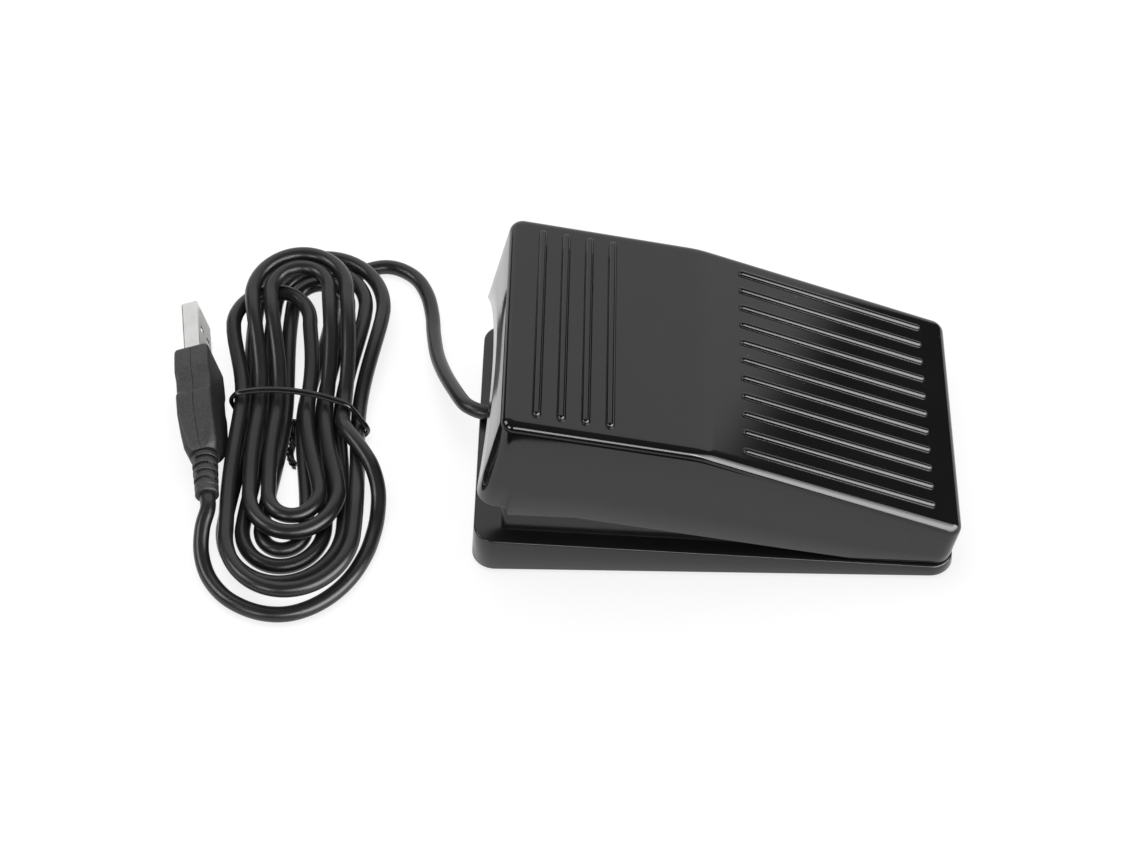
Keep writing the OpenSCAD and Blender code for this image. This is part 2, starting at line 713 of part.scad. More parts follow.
// Ears, spring cups and switch post under the plates
module hinge_ears() {
    for (s = [-1, 1]) translate([0, s * (ear_y0 + ear_t / 2), 0]) {
        rotate([90, 0, 0]) cylinder(r = ear_r, h = ear_t, center = true);
        translate([-ear_r, -ear_t / 2, 0]) cube([2 * ear_r, ear_t, far]);
    }
}

module spring_cups() {
    spring_places() difference() {
        translate([0, 0, spring_top - cup_depth]) cylinder(r = cup_r + cup_wall, h = far);
        translate([0, 0, spring_top - cup_depth - 1]) cylinder(r = cup_r, h = cup_depth + 1);
        translate([0, 0, spring_top + seat_t]) cylinder(r = cup_r, h = far);
    }
}

module switch_post() {
    translate([tip_x - post_len_x / 2, -post_len_y / 2, post_bottom + 1.5]) cube([post_len_x, post_len_y, far]);
    translate([tip_x, 0, post_bottom + 1.5]) rotate([90, 0, 0]) cylinder(r = 1.5, h = post_len_y, center = true);
}

module pedal_shell() {
    color("#141414") difference() {
        union() {
            in_pedal() {
                difference() {
                    shell_form(0);
                    shell_form(shell_wall);
                    below_rim();
                    arch();
                }
                tread_ribs();
            }
            intersection() {
                in_pedal() shell_form(0.8);
                union() {
                    in_pedal() hinge_ears();
                    spring_cups();
                    switch_post();
                }
            }
        }
        translate([hinge_x, 0, hinge_z]) rotate([90, 0, 0])
            cylinder(d = pin_d + 2 * pin_clear, h = 2 * (ear_y1 + 1), center = true);
        across(far) polygon([[0, deck_z(0) + heel_gap], [far, deck_z(far) + heel_gap], [far, -far], [0, -far]]);
    }
}

// Loops of the hank: each has a far arc, a right run, a near arc and a left run. They step out in the
// lower layer, one climbs, and they step out again in the upper layer, all drawn in at the waist
function smooth(q) = let (c = max(0, min(1, q))) c * c * (3 - 2 * c);
function right_in(k) = (k > climb_loop ? 2 : 1) * climb_loop - k;
function left_in(k) = right_in(k) - 0.5;
function upper_far(k) = k > climb_loop ? 1 : 0;
function upper_near(k) = k >= climb_loop ? 1 : 0;
function right_edge(mid, half, layer, k) = mid[layer] + half[layer] - hank_step * right_in(k);
function left_edge(mid, half, layer, k) = mid[layer] - half[layer] + hank_step * left_in(k);

// Arcs at the ends: the middle, the radius, and where the runs meet it
function far_arc(k) = let (a = left_edge(far_x, far_w, upper_near(k - 1), k - 1),
                           b = right_edge(far_x, far_w, upper_far(k), k), r = (b - a) / 2,
                           short = k == climb_loop + 1 ? climb_short : 0)
    [(a + b) / 2, r,
     far_y[upper_far(k)] - far_fan * (left_in(k - 1) + right_in(k)) / 2 - arc_tall * r - short];
function near_arc(k) = let (a = left_edge(near_x, near_w, upper_near(k), k),
                            b = right_edge(near_x, near_w, upper_near(k), k), r = (b - a) / 2,
                            reach = k == climb_loop ? climb_reach : 0)
    [(a + b) / 2, r,
     near_y[upper_near(k)] + near_fan * (left_in(k) + right_in(k)) / 2 + arc_tall * r - reach];

// Heights: at the far end the loops lie on the lead and on one another
function far_lift(k, y) = (k == 0 ? 0 : k > climb_loop + 1 ? 2 : 1) * hank_rise * smooth((y - 8) / 32);
function climb(k, f) = k == climb_loop ? smooth((f - 0.5) / 0.42) : 0;
function drawn(a, b, f) = let (q = (a - waist_y) / (a - b)) smooth(min(f / q, (1 - f) / (1 - q)));
function run_point(x0, x1, xw, y0, y1, f, layer, k) = let (w = drawn(y0, y1, f), y = y0 + (y1 - y0) * f)
    [(x0 + (x1 - x0) * f) * (1 - w) + xw * w, y, hank_z + hank_rise * layer + far_lift(k, y) + waist_lift * w];
function right_run(k, f) = run_point(right_edge(far_x, far_w, upper_far(k), k),
    right_edge(near_x, near_w, upper_near(k), k), right_edge(waist_x, waist_w, upper_far(k), k),
    far_arc(k)[2], near_arc(k)[2], f, upper_far(k) + climb(k, f), k);
function left_run(k, f) = run_point(left_edge(far_x, far_w, upper_near(k), k),
    left_edge(near_x, near_w, upper_near(k), k), left_edge(waist_x, waist_w, upper_near(k), k),
    far_arc(k + 1)[2], near_arc(k)[2], f, upper_near(k), k + 1);
function far_point(k, q) = let (c = far_arc(k), y = c[2] + arc_tall * c[1] * cos(q))
    [c[0] + c[1] * sin(q), y, hank_z + hank_rise * upper_far(k) + far_lift(k, y)];
function near_point(k, q) = let (c = near_arc(k))
    [c[0] + c[1] * sin(q), c[2] - arc_tall * c[1] * cos(q), hank_z + hank_rise * upper_near(k)];
function loop_point(t) = let (k = floor(t + 1 / 6), s = t - k)
    s <= 1 / 6 ? far_point(k, 540 * s) : s <= 1 / 3 ? right_run(k, 6 * s - 1)
    : s <= 2 / 3 ? near_point(k, 270 - 540 * s) : left_run(k, 5 - 6 * s);
hank_count = round((hank_end - hank_start) * loop_rings);
hank_loops = [for (i = [0:hank_count]) loop_point(hank_start + i / loop_rings)];
hank_head = hank_loops[0] + [0, cord_d, 0];
hank_foot = hank_loops[hank_count] - [0, cord_d, 0];
hank_path = concat([hank_head], hank_loops, [hank_foot]);
hank_gap = min([for (i = [0:hank_count], j = [i + 6:1:hank_count]) norm(hank_loops[i] - hank_loops[j])]) - cord_d;
echo("least gap of the hank to itself, mm", hank_gap);

function length_of(p) = len(p) < 2 ? 0 : [for (i = [1:len(p) - 1]) norm(p[i] - p[i - 1])]
    * [for (i = [1:len(p) - 1]) 1];
lead_path = concat([[jacket_end, cord_y, cord_z], [clamp_x, cord_y, cord_z]],
                   curve(concat(lead_route, [hank_head + [0, cord_d, 0]]), 3), [hank_head]);
tail_path = concat([hank_foot], curve(concat([hank_foot - [0, cord_d, 0]], tail_route,
                                             [plug_point(-relief_end - cord_d, 0)]), 3), [plug_point(-relief_end, 0)]);
echo("cord length, mm", length_of(lead_path) + length_of(hank_path) + length_of(tail_path));

module cord_lead() {
    color("#121212") tube(lead_path, cord_r, cord_sides);
}

module cord_hank() {
    color("#121212") tube(hank_path, cord_r, hank_sides);
}

module cord_tail() {
    color("#121212") tube(tail_path, cord_r, cord_sides);
}

// Twist tie: one band round the waist of the hank, aslant
tie_room = cord_r + tie_d / 2 + 0.7;
tie_x0 = left_edge(waist_x, waist_w, 1, climb_loop) - tie_room;
tie_x1 = right_edge(waist_x, waist_w, 0, climb_loop) + tie_room;
tie_z0 = tie_d / 2;
tie_z1 = hank_z + hank_rise + waist_lift + tie_room + 1.2;
tie_slant = -0.12;
tie_rings = 40;
tie_square = 6;
function tie_point(i) = let (a = 360 * i / tie_rings, c = cos(a), s = sin(a),
                             k = pow(pow(abs(c), tie_square) + pow(abs(s), tie_square), -1 / tie_square),
                             x = (tie_x1 - tie_x0) / 2 * c * k)
    [(tie_x0 + tie_x1) / 2 + x, waist_y + tie_slant * x, (tie_z0 + tie_z1) / 2 + (tie_z1 - tie_z0) / 2 * s * k];
module cord_tie() {
    n = 6;
    m = tie_rings;
    p = [for (i = [0:m - 1]) tie_point(i)];
    points = [for (i = [0:m - 1]) let (t = unit(p[(i + 1) % m] - p[(i + m - 1) % m]), o = cross(t, [0, 1, 0]))
        each [for (k = [0:n - 1]) p[i] + tie_d / 2 * (cos(360 * k / n) * [0, 1, 0] + sin(360 * k / n) * o)]];
    faces = [for (i = [0:m - 1], k = [0:n - 1], h = [0, 1])
        let (a = i * n + k, b = i * n + (k + 1) % n, c = ((i + 1) % m) * n + (k + 1) % n, d = ((i + 1) % m) * n + k)
        h == 0 ? [a, c, b] : [a, d, c]];
    color("#151515") polyhedron(points, faces);
}

// Plug, lying on its narrow edge beside the hank
module in_plug() {
    translate([plug_x, plug_y, plug_z]) rotate([0, 0, plug_yaw]) rotate([0, -plug_roll, 0]) children();
}

module plug_relief() {
    pitch = relief_len / relief_rings;
    color("#161616") in_plug() translate([0, -mould_len, 0]) rotate([90, 0, 0]) rotate_extrude()
        polygon(concat([[0, 0]], [for (i = [0:relief_rings - 1])
            let (r = (relief_d0 + (relief_d1 - relief_d0) * i / (relief_rings - 1)) / 2)
            each [[r, i * pitch], [r, (i + 0.62) * pitch], [r - 0.8, (i + 0.66) * pitch], [r - 0.8, (i + 1) * pitch]]],
            [[0, relief_len]]));
}

waist_depth = 1.1;
module plug_overmould() {
    h = mould_w / 2;
    color("#161616") in_plug() difference() {
        translate([-mould_t / 2, 0, 0]) rotate([90, 0, 90]) linear_extrude(mould_t) polygon([
            [-0.8, h - 0.6], [0, h - 1.6], [0, -h + 1.6], [-0.8, -h + 0.6],
            [-9, -h], [-11, -h + waist_depth], [-15, -h + waist_depth], [-17, -h],
            [-mould_len + 9, -h + 1], [-mould_len, -relief_d0 / 2 - 0.6],
            [-mould_len, relief_d0 / 2 + 0.6], [-mould_len + 9, h - 1],
            [-17, h], [-15, h - waist_depth], [-11, h - waist_depth], [-9, h]]);
        translate([-shell_narrow / 2, -shell_in, -shell_broad / 2]) cube([shell_narrow, shell_in + 1, shell_broad]);
    }
}

window = 2.4;
module plug_shell() {
    color("#c8c8c8") in_plug() difference() {
        translate([-shell_narrow / 2, -shell_in, -shell_broad / 2])
            cube([shell_narrow, shell_in + shell_out, shell_broad]);
        translate([-shell_narrow / 2 + shell_sheet, -shell_in + shell_sheet, -shell_broad / 2 + shell_sheet])
            cube([shell_narrow - 2 * shell_sheet, shell_in + shell_out, shell_broad - 2 * shell_sheet]);
        for (s = [-1, 1]) translate([-shell_narrow, shell_out * 0.45, s * shell_broad * 0.21 - window / 2])
            cube([2 * shell_narrow, window, window]);
    }
}

tongue_t = 1.9;
tongue_front = 1;
tongue_x = -shell_narrow / 2 + shell_sheet;
module plug_tongue() {
    color("#e6e6e2") in_plug() translate([tongue_x, -shell_in + shell_sheet, -shell_broad / 2 + shell_sheet])
        cube([tongue_t, shell_in - shell_sheet + shell_out - tongue_front, shell_broad - 2 * shell_sheet]);
}

contact_z = [-3.5, -1, 1, 3.5];
module plug_contacts() {
    color("#d8b24a") in_plug() for (z = contact_z)
        translate([tongue_x + tongue_t, shell_out - tongue_front - 9, z - 0.5]) cube([0.25, 8, 1]);
}

base_tray();
rubber_feet();
hinge_pin();
return_springs();
switch_case();
switch_terminals();
switch_screws();
circuit_board();
controller_chip();
crystal();
capacitors();
wire_header();
board_screws();
cord_clamp();
clamp_screws();
cord_cores();
switch_wires();
pedal_shell();
switch_lever();
switch_plunger();
cord_lead();
cord_hank();
cord_tail();
cord_tie();
plug_relief();
plug_overmould();
plug_shell();
plug_tongue();
plug_contacts();
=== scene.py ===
import math

import bmesh
import bpy
from mathutils import Matrix, Vector


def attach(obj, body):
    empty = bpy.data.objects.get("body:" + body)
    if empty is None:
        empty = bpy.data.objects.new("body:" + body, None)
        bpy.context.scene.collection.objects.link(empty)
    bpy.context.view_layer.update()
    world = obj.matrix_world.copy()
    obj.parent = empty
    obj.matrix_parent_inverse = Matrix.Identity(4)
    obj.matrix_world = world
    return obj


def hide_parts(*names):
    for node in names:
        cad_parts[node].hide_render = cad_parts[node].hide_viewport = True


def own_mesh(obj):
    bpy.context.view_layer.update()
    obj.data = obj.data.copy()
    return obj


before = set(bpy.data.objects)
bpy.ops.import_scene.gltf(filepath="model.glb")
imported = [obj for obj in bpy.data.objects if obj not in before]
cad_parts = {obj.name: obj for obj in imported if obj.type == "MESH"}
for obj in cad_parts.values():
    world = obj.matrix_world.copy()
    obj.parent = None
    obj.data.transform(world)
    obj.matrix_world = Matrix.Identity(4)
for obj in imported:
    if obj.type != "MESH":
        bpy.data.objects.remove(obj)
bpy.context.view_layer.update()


# ---- Studio ----
# A seamless white sweep under soft boxes. The key light at the front right is three lamps, brightest in
# its middle. A black hood and cards, which reflections alone see, shape what the polished faces mirror.

def add(tree, kind, inputs=None, **settings):
    made = tree.nodes.new(kind)
    for key, value in settings.items():
        setattr(made, key, value)
    for socket, value in (inputs or {}).items():
        if isinstance(value, bpy.types.NodeSocket):
            tree.links.new(value, made.inputs[socket])
        else:
            made.inputs[socket].default_value = value
    return made


def larger(tree, a, b):
    return add(tree, "ShaderNodeMath", {0: a, 1: b}, operation="MAXIMUM").outputs[0]


def seen_directly(tree):
    """1 for the camera's own rays and for those by way of a mirror or glass"""
    ray = add(tree, "ShaderNodeLightPath").outputs
    return larger(tree, larger(tree, ray["Is Camera Ray"], ray["Is Glossy Ray"]), ray["Is Transmission Ray"])


def matt(tree, tone):
    return add(tree, "ShaderNodeBsdfDiffuse", {"Color": (tone, tone, tone, 1)}).outputs[0]


def blend(tree, share, first, second):
    return add(tree, "ShaderNodeMixShader", {0: share, 1: first, 2: second}).outputs[0]


def blank_material(name):
    material = bpy.data.materials.new(name)
    material.use_nodes = True
    material.node_tree.nodes.clear()
    return material, material.node_tree


def cover(tree, shader):
    add(tree, "ShaderNodeOutputMaterial", {"Surface": shader})


def placed(name, data):
    obj = bpy.data.objects.new(name, data)
    bpy.context.collection.objects.link(obj)
    return obj


def staged(name, points, faces, material):
    mesh = bpy.data.meshes.new(name)
    mesh.from_pydata(points, [], faces)
    mesh.materials.append(material)
    obj = placed(name, mesh)
    return obj


scene = bpy.context.scene
scene.view_settings.view_transform = "Standard"

room_fill, room_white = 0.38, 1.0
room = bpy.data.worlds.new("white_room")
scene.world = room
room.use_nodes = True
tree = room.node_tree
tree.nodes.clear()
fill, white = [add(tree, "ShaderNodeBackground", {"Color": (1, 1, 1, 1), "Strength": strength}).outputs[0]
               for strength in (room_fill, room_white)]
add(tree, "ShaderNodeOutputWorld", {"Surface": blend(tree, seen_directly(tree), fill, white)})

paper_tone, shaded_tone, paper_glow, sweep_half = 0.45, 0.25, 0.82, 8.0
sweep_paper, tree = blank_material("sweep_paper")
glow = add(tree, "ShaderNodeEmission", {"Color": (1, 1, 1, 1), "Strength": paper_glow})
shown = add(tree, "ShaderNodeAddShader", {0: matt(tree, shaded_tone), 1: glow.outputs[0]})
cover(tree, blend(tree, seen_directly(tree), matt(tree, paper_tone), shown.outputs[0]))
sweep_corners = [(x * sweep_half, y * sweep_half, 0) for x, y in ((-1, -1), (1, -1), (1, 1), (-1, 1))]
staged("sweep", sweep_corners, [(0, 1, 2, 3)], sweep_paper)


def circle(r, sides):
    return [(r * math.cos(math.tau * k / sides), r * math.sin(math.tau * k / sides)) for k in range(sides)]


def loft(rings, caps=False):
    """Points and faces of a skin over closed rings, its ends filled where caps says so"""
    n = len(rings[0])
    points = [p for ring in rings for p in ring]
    faces = [(i * n + k, i * n + (k + 1) % n, (i + 1) * n + (k + 1) % n, (i + 1) * n + k)
             for i in range(len(rings) - 1) for k in range(n)]
    if caps:
        faces += [tuple(reversed(range(n))), tuple(range(len(points) - n, len(points)))]
    return points, faces


def only_reflected(obj):
    obj.visible_camera = obj.visible_diffuse = obj.visible_shadow = False


# The hood is open at the back, between a left edge and the line at which the heel plate's reflection
# turns dark. Each edge has its axis, its place as a share of the radius, and its softness.
hood_r, hood_tone, hood_rings, hood_sides = 1.6, 0.012, 24, 64
hood_low, hood_sweep = 4, 85
hood_edges = [("X", 0.568, 0.012), ("X", -0.68, -0.03), ("Y", 0.42, -0.08)]
hood_cloth, tree = blank_material("hood_cloth")
split = add(tree, "ShaderNodeSeparateXYZ", {0: add(tree, "ShaderNodeTexCoord").outputs["Object"]}).outputs
right, left, front = [
    add(tree, "ShaderNodeMapRange", {"Value": split[axis], "From Min": hood_r * (edge - soft),
                                     "From Max": hood_r * (edge + soft)},
        interpolation_type="SMOOTHSTEP").outputs[0] for axis, edge, soft in hood_edges]
dark = larger(tree, larger(tree, right, left), front)
clear = add(tree, "ShaderNodeBsdfTransparent").outputs[0]
cover(tree, blend(tree, dark, clear, matt(tree, hood_tone)))
hood_turns = [math.radians(hood_low + hood_sweep * i / hood_rings) for i in range(hood_rings + 1)]
hood_points, hood_faces = loft([[(x, y, hood_r * math.sin(a))
                                 for x, y in circle(hood_r * math.cos(a), hood_sides)] for a in hood_turns])
hood_faces.append(tuple(range(len(hood_points) - hood_sides, len(hood_points))))
only_reflected(staged("hood", hood_points, hood_faces, hood_cloth))


def soft_box(name, toward, width, height, radiance, distance=1.3):
    """Lamp that faces the object"""
    lamp = bpy.data.lights.new(name, "AREA")
    lamp.shape = "RECTANGLE"
    lamp.size, lamp.size_y = width, height
    lamp.energy = radiance * math.pi * width * height
    obj = placed(name, lamp)
    obj.location = Vector(toward).normalized() * distance
    obj.rotation_euler = Vector(toward).to_track_quat("Z", "Y").to_euler()
    return obj


soft_box("top_box", (-0.1, 0.15, 1), 1.0, 1.0, 3.1).visible_glossy = False
shine = [soft_box("key_box", (0.8, -0.425, 0.423), 1.8, 1.15, 3.6),
         soft_box("key_core", (0.8, -0.425, 0.44), 1.8, 0.8, 3.2, 1.29),
         soft_box("key_heart", (0.8, -0.425, 0.46), 1.8, 0.45, 3.2, 1.28),
         soft_box("strip_box", (0.15, -0.79, 0.5878), 0.66, 0.36, 8.0),
         soft_box("left_box", (-0.58, -0.7, 0.5), 0.42, 0.36, 8.0),
         soft_box("side_box", (-0.8, -0.05, 0.6), 0.5, 0.5, 6.0)]
for box in shine:
    box.visible_diffuse = False

# One card keeps the table in front out of the rolled edges, two dim it beside the plug
card_z = 0.0005
cards = [("front_card", 0.012, [(-0.7, -0.2), (0.02, -0.2), (0.02, -0.092), (-0.7, -0.092)]),
         ("grip_card", 0.012, [(-0.1235, -0.0208), (-0.1131, -0.0192), (-0.1206, 0.0282), (-0.131, 0.0266)]),
         ("shell_card", 0.6, [(-0.131, 0.0266), (-0.1206, 0.0282), (-0.125, 0.0559), (-0.1354, 0.0542)])]
for name, tone, corners in cards:
    card_paper, tree = blank_material(name)
    cover(tree, matt(tree, tone))
    only_reflected(staged(name, [(x, y, card_z) for x, y in corners], [(0, 1, 2, 3)], card_paper))

# Camera: where the photograph was taken from
photo_w = 1140
photo_focal = 2700
view_el, view_az, view_roll = math.radians(48.952), math.radians(1.289), math.radians(-0.121)
view_target = Vector((-0.0366, 0.01006, 0.001))
view_distance = 0.70946
lens = bpy.data.cameras.new("photo_camera")
lens.sensor_width = 36
lens.lens = photo_focal / photo_w * lens.sensor_width
lens.clip_start, lens.clip_end = 0.01, 50
camera = placed("photo_camera", lens)
turn = (Matrix.Rotation(view_az, 4, "Z") @ Matrix.Rotation(math.pi / 2 - view_el, 4, "X")
        @ Matrix.Rotation(view_roll, 4, "Z"))
camera.matrix_world = Matrix.Translation(view_target) @ turn @ Matrix.Translation((0, 0, view_distance))
scene.camera = camera


# ---- Base tray ----
# The lower moulding: a wedge-shaped band with a sloping deck, and inside it a wall that
# the pedal closes over. Injection-moulded black plastic with a fine satin surface.

MM = 0.001


def finish(name, colour, rough, patch=9.0, change=0.12, grain=0.35, depth=0.004, metal=0.0):
    """Material: its colour varies by change over patches; rough is (least, most); grain and depth in mm"""
    material, tree = blank_material(name)
    place = add(tree, "ShaderNodeTexCoord").outputs["Object"]

    def cloud(size, detail, fade):
        return add(tree, "ShaderNodeTexNoise", {"Vector": place, "Scale": 1 / (size * MM), "Detail": detail,
                                                "Roughness": fade}).outputs[0]
    tone = add(tree, "ShaderNodeValToRGB", {"Fac": cloud(patch, 5.0, 0.6)})
    for stop, position, shift in zip(tone.color_ramp.elements, (0.3, 0.7), (-change, change)):
        stop.position = position
        stop.color = [c * (1 + shift) for c in colour] + [1]
    dull = add(tree, "ShaderNodeMapRange", {"Value": cloud(patch * 2.3, 6.0, 0.65), "From Min": 0.3,
                                            "From Max": 0.7, "To Min": rough[0], "To Max": rough[1]})
    bump = add(tree, "ShaderNodeBump", {"Strength": 1.0, "Distance": depth * MM,
                                        "Height": cloud(grain, 3.0, 0.55)})
    skin = add(tree, "ShaderNodeBsdfPrincipled", {"Base Color": tone.outputs[0], "Roughness": dull.outputs[0],
                                                  "Metallic": metal, "Normal": bump.outputs[0]})
    cover(tree, skin.outputs[0])
    return material


def joined(*forms):
    points, faces = [], []
    for more_points, more_faces in forms:
        start = len(points)
        points += more_points
        faces += [tuple(start + i for i in face) for face in more_faces]
    return points, faces


def make(name, form, material, body, replaced=(), sharp=32):
    """One piece from points in millimetres, welded, and smooth but for edges sharper than sharp degrees"""
    mesh = bpy.data.meshes.new(name)
    mesh.from_pydata([[c * MM for c in p] for p in form[0]], [], form[1])
    shape = bmesh.new()
    shape.from_mesh(mesh)
    bmesh.ops.remove_doubles(shape, verts=shape.verts, dist=1e-7)
    bmesh.ops.recalc_face_normals(shape, faces=shape.faces)
    shape.to_mesh(mesh)
    shape.free()
    mesh.polygons.foreach_set("use_smooth", [True] * len(mesh.polygons))
    mesh.set_sharp_from_angle(angle=math.radians(sharp))
    mesh.materials.append(material)
    obj = placed(name, mesh)
    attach(obj, body)
    if replaced:
        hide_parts(*replaced)
    return obj


def block(low, high, bevel=0.3):
    """Box with every edge chamfered"""
    (x0, y0, z0), (x1, y1, z1) = low, high
    b = bevel

    def ring(g, z):
        return [(x0 + b + g, y0 + g, z), (x1 - b - g, y0 + g, z), (x1 - g, y0 + b + g, z),
                (x1 - g, y1 - b - g, z), (x1 - b - g, y1 - g, z), (x0 + b + g, y1 - g, z),
                (x0 + g, y1 - b - g, z), (x0 + g, y0 + b + g, z)]
    return loft([ring(b, z0), ring(0, z0 + b), ring(0, z1 - b), ring(b, z1)], caps=True)


def turned(profile, centre, sides=40):
    """Upright round form from (radius, height) steps"""
    cx, cy = centre
    return loft([[(cx + x, cy + y, z) for x, y in circle(r, sides)] for r, z in profile], caps=True)


def slab(outline, y0, y1):
    """Side view (x, z) carried straight across from y0 to y1"""
    return loft([[(x, y0, z) for x, z in outline], [(x, y1, z) for x, z in outline]], caps=True)


def arc_at(x, z, r, degrees):
    return [(x + r * math.cos(math.radians(a)), z + r * math.sin(math.radians(a))) for a in degrees]


corner_steps = 10


def corner(x, y, r, start):
    """A quarter circle without its ends, as (x, y, outward x, outward y)"""
    degrees = [start + 90 * i / corner_steps for i in range(1, corner_steps)]
    return [place + out for place, out in zip(arc_at(x, y, r, degrees), arc_at(0, 0, 1, degrees))]


def plan_loop(x0, x1, half, r, xs, ys):
    """Rounded outline as a loop of (x, y, outward x, outward y), its half width a function of x"""
    runs = [x0 + r] + xs + [x1 - r]
    c0, c1 = half(x0 + r) - r, half(x1 - r) - r
    return ([(x, -half(x), 0, -1) for x in runs] + corner(x1 - r, -c1, r, -90)
            + [(x1, y, 1, 0) for y in [-c1] + ys + [c1]] + corner(x1 - r, c1, r, 0)
            + [(x, half(x), 0, 1) for x in runs[::-1]] + corner(x0 + r, c0, r, 90)
            + [(x0, y, -1, 0) for y in [c0] + ys[::-1] + [-c0]] + corner(x0 + r, -c0, r, 180))


base_half_len, base_half_w, base_corner = 60.5, 37.6, 6.0
base_under, base_floor, base_edge = 1.0, 3.0, 0.4
band_lean, band_round, band_steps = math.tan(math.radians(4)), 0.55, 5
deck_toe_z, deck_fall = 11.5, 7.4 / 121
wall_x0, wall_x1, wall_half, wall_thick = -52.8, 55.0, 32.55, 2.0
wall_toe_z, wall_heel_z, wall_fillet, wall_edge = 26.0, 12.0, 0.5, 0.4
wall_corner, room_corner, room_ease, wall_past = 1.5, 0.75, 0.05, 1.0
cord_r, cord_y, cord_z = 2.0, 3.5, 13.6


def deck_z(x, y=0.0):
    return deck_toe_z - (x + base_half_len) * deck_fall


def wall_top(x, y):
    """Height of the inner wall, with the cord's slot in its toe side"""
    if x < wall_x0 + wall_thick + wall_past and abs(y - cord_y) < cord_r:
        return cord_z - math.sqrt(cord_r ** 2 - (y - cord_y) ** 2)
    slope = (wall_heel_z - wall_toe_z) / (wall_x1 - wall_x0 + 2 * wall_past)
    return wall_toe_z + (x - wall_x0 + wall_past) * slope


def spread(loop, out, height, up=0.0):
    """Ring set out from a loop, at a height that may change with the place"""
    return [(x + ox * out, y + oy * out, (height(x, y) if callable(height) else height) + up)
            for x, y, ox, oy in loop]


base_xs = [-50 + 4 * i for i in range(26)]
slot_half = [0.25, 0.55, 0.8, 0.95, 0.999, 1.001]
slot_ys = [cord_y + cord_r * f for f in [-f for f in slot_half[::-1]] + [0] + slot_half]
base_ys = [-28 + 4 * i for i in range(8)] + slot_ys + [8 + 4 * i for i in range(6)]
foot_loop = plan_loop(-base_half_len, base_half_len, lambda x: base_half_w, base_corner, base_xs, base_ys)
wall_loop = plan_loop(wall_x0, wall_x1, lambda x: wall_half, wall_corner, base_xs, base_ys)
room_half = wall_half - wall_thick + room_ease
room_loop = plan_loop(wall_x0 + wall_thick, wall_x1 - wall_thick, lambda x: room_half, room_corner, base_xs,
                      base_ys)
rounded = ((1, 0), (0.3, 0.3), (0, 1))
base_rings = [spread(foot_loop, -g * base_edge, base_under, up * base_edge) for g, up in rounded]
for i in range(band_steps + 1):
    a = math.radians(90 * i / band_steps)
    ring = []
    for x, y, ox, oy in foot_loop:
        g = (deck_z(x) - band_round - base_under) * band_lean + band_round * (1 - math.cos(a))
        ring.append((x - ox * g, y - oy * g, deck_z(x) - band_round * (1 - math.sin(a))))
    base_rings.append(ring)
base_rings += [spread(wall_loop, g * wall_fillet, deck_z, up * wall_fillet) for g, up in rounded]
base_rings += [spread(wall_loop, -g * wall_edge, wall_top, -up * wall_edge) for g, up in rounded[::-1]]
base_rings += [spread(room_loop, wall_edge, wall_top), spread(room_loop, 0, wall_top, -wall_edge),
               spread(room_loop, 0, base_floor)]

root_z = base_floor - 0.5
hinge_x, hinge_z, hinge_r = 38.2, 10.0, 3.6
post_y0, post_y1 = 27.2, 31.0
post_side = [(hinge_x + hinge_r, root_z), *arc_at(hinge_x, hinge_z, hinge_r, range(0, 181, 9)),
             (hinge_x - hinge_r, root_z)]
spring_x, spring_y = -3.8, 17.0
case_x0, case_x1, case_half = -18.8, 1.2, 3.2
case_back, case_back_z, case_rest, case_rest_z = 3.5, 16, 3, 10
clamp_x, clamp_len, clamp_half = -45.8, 5, 8
boss_places = [(-44.8, -26.1), (-22.8, -26.1), (-44.8, -8.1)]
peg_r, peg_bevel, boss_r, boss_bevel, peg_z = 2.75, 0.4, 2.5, 0.2, 7.0


def peg(r, bevel, place):
    return turned([(r, root_z), (r, peg_z - bevel), (r - bevel, peg_z)], place)


base_inside = [slab(post_side, s * post_y0, s * post_y1) for s in (-1, 1)]
base_inside += [peg(peg_r, peg_bevel, (spring_x, s * spring_y)) for s in (-1, 1)]
base_inside += [block((case_x0, case_half, root_z), (case_x1, case_half + case_back, case_back_z))]
base_inside += [block((x, -case_half, root_z), (x + case_rest, case_half + 0.5, case_rest_z), 0.2)
                for x in (case_x0, case_x1 - case_rest)]
base_inside += [block((clamp_x, cord_y - clamp_half, root_z),
                      (clamp_x + clamp_len, cord_y + clamp_half, cord_z - 0.2))]
base_inside += [peg(boss_r, boss_bevel, place) for place in boss_places]
satin_black = finish("satin_black", (0.017, 0.017, 0.0175), (0.18, 0.26), patch=14, change=0.1, grain=0.22,
                     depth=0.0035)
make("base_moulding", joined(loft(base_rings, caps=True), *base_inside), satin_black, "base",
     ["base_tray"])


# ---- Rubber feet ----
# Four discs of black rubber, moulded to size. They are pressed and glued into round recesses
# under the base's corners, and keep it from sliding.

foot_rubber = finish("foot_rubber", (0.035, 0.035, 0.034), (0.7, 0.85), patch=4, change=0.2, grain=0.3,
                     depth=0.02)


def dress(node, material):
    """Gives a solid of the frame, whose shape is right, its own finish"""
    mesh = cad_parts[node].data
    mesh.materials.clear()
    mesh.materials.append(material)


dress("rubber_feet", foot_rubber)


# ---- Hinge pin and return springs ----
# A ground steel rod through the base's posts, and two coil springs of bright steel wire
# that stand on pegs in the base and push up in cups under the pedal.

ground_steel = finish("ground_steel", (0.56, 0.56, 0.58), (0.18, 0.32), patch=3, change=0.08, grain=0.12,
                      depth=0.001, metal=1.0)
dress("hinge_pin", ground_steel)


def heading(path, i):
    """Way of a path at its point i"""
    return (path[min(i + 1, len(path) - 1)] - path[max(i - 1, 0)]).normalized()


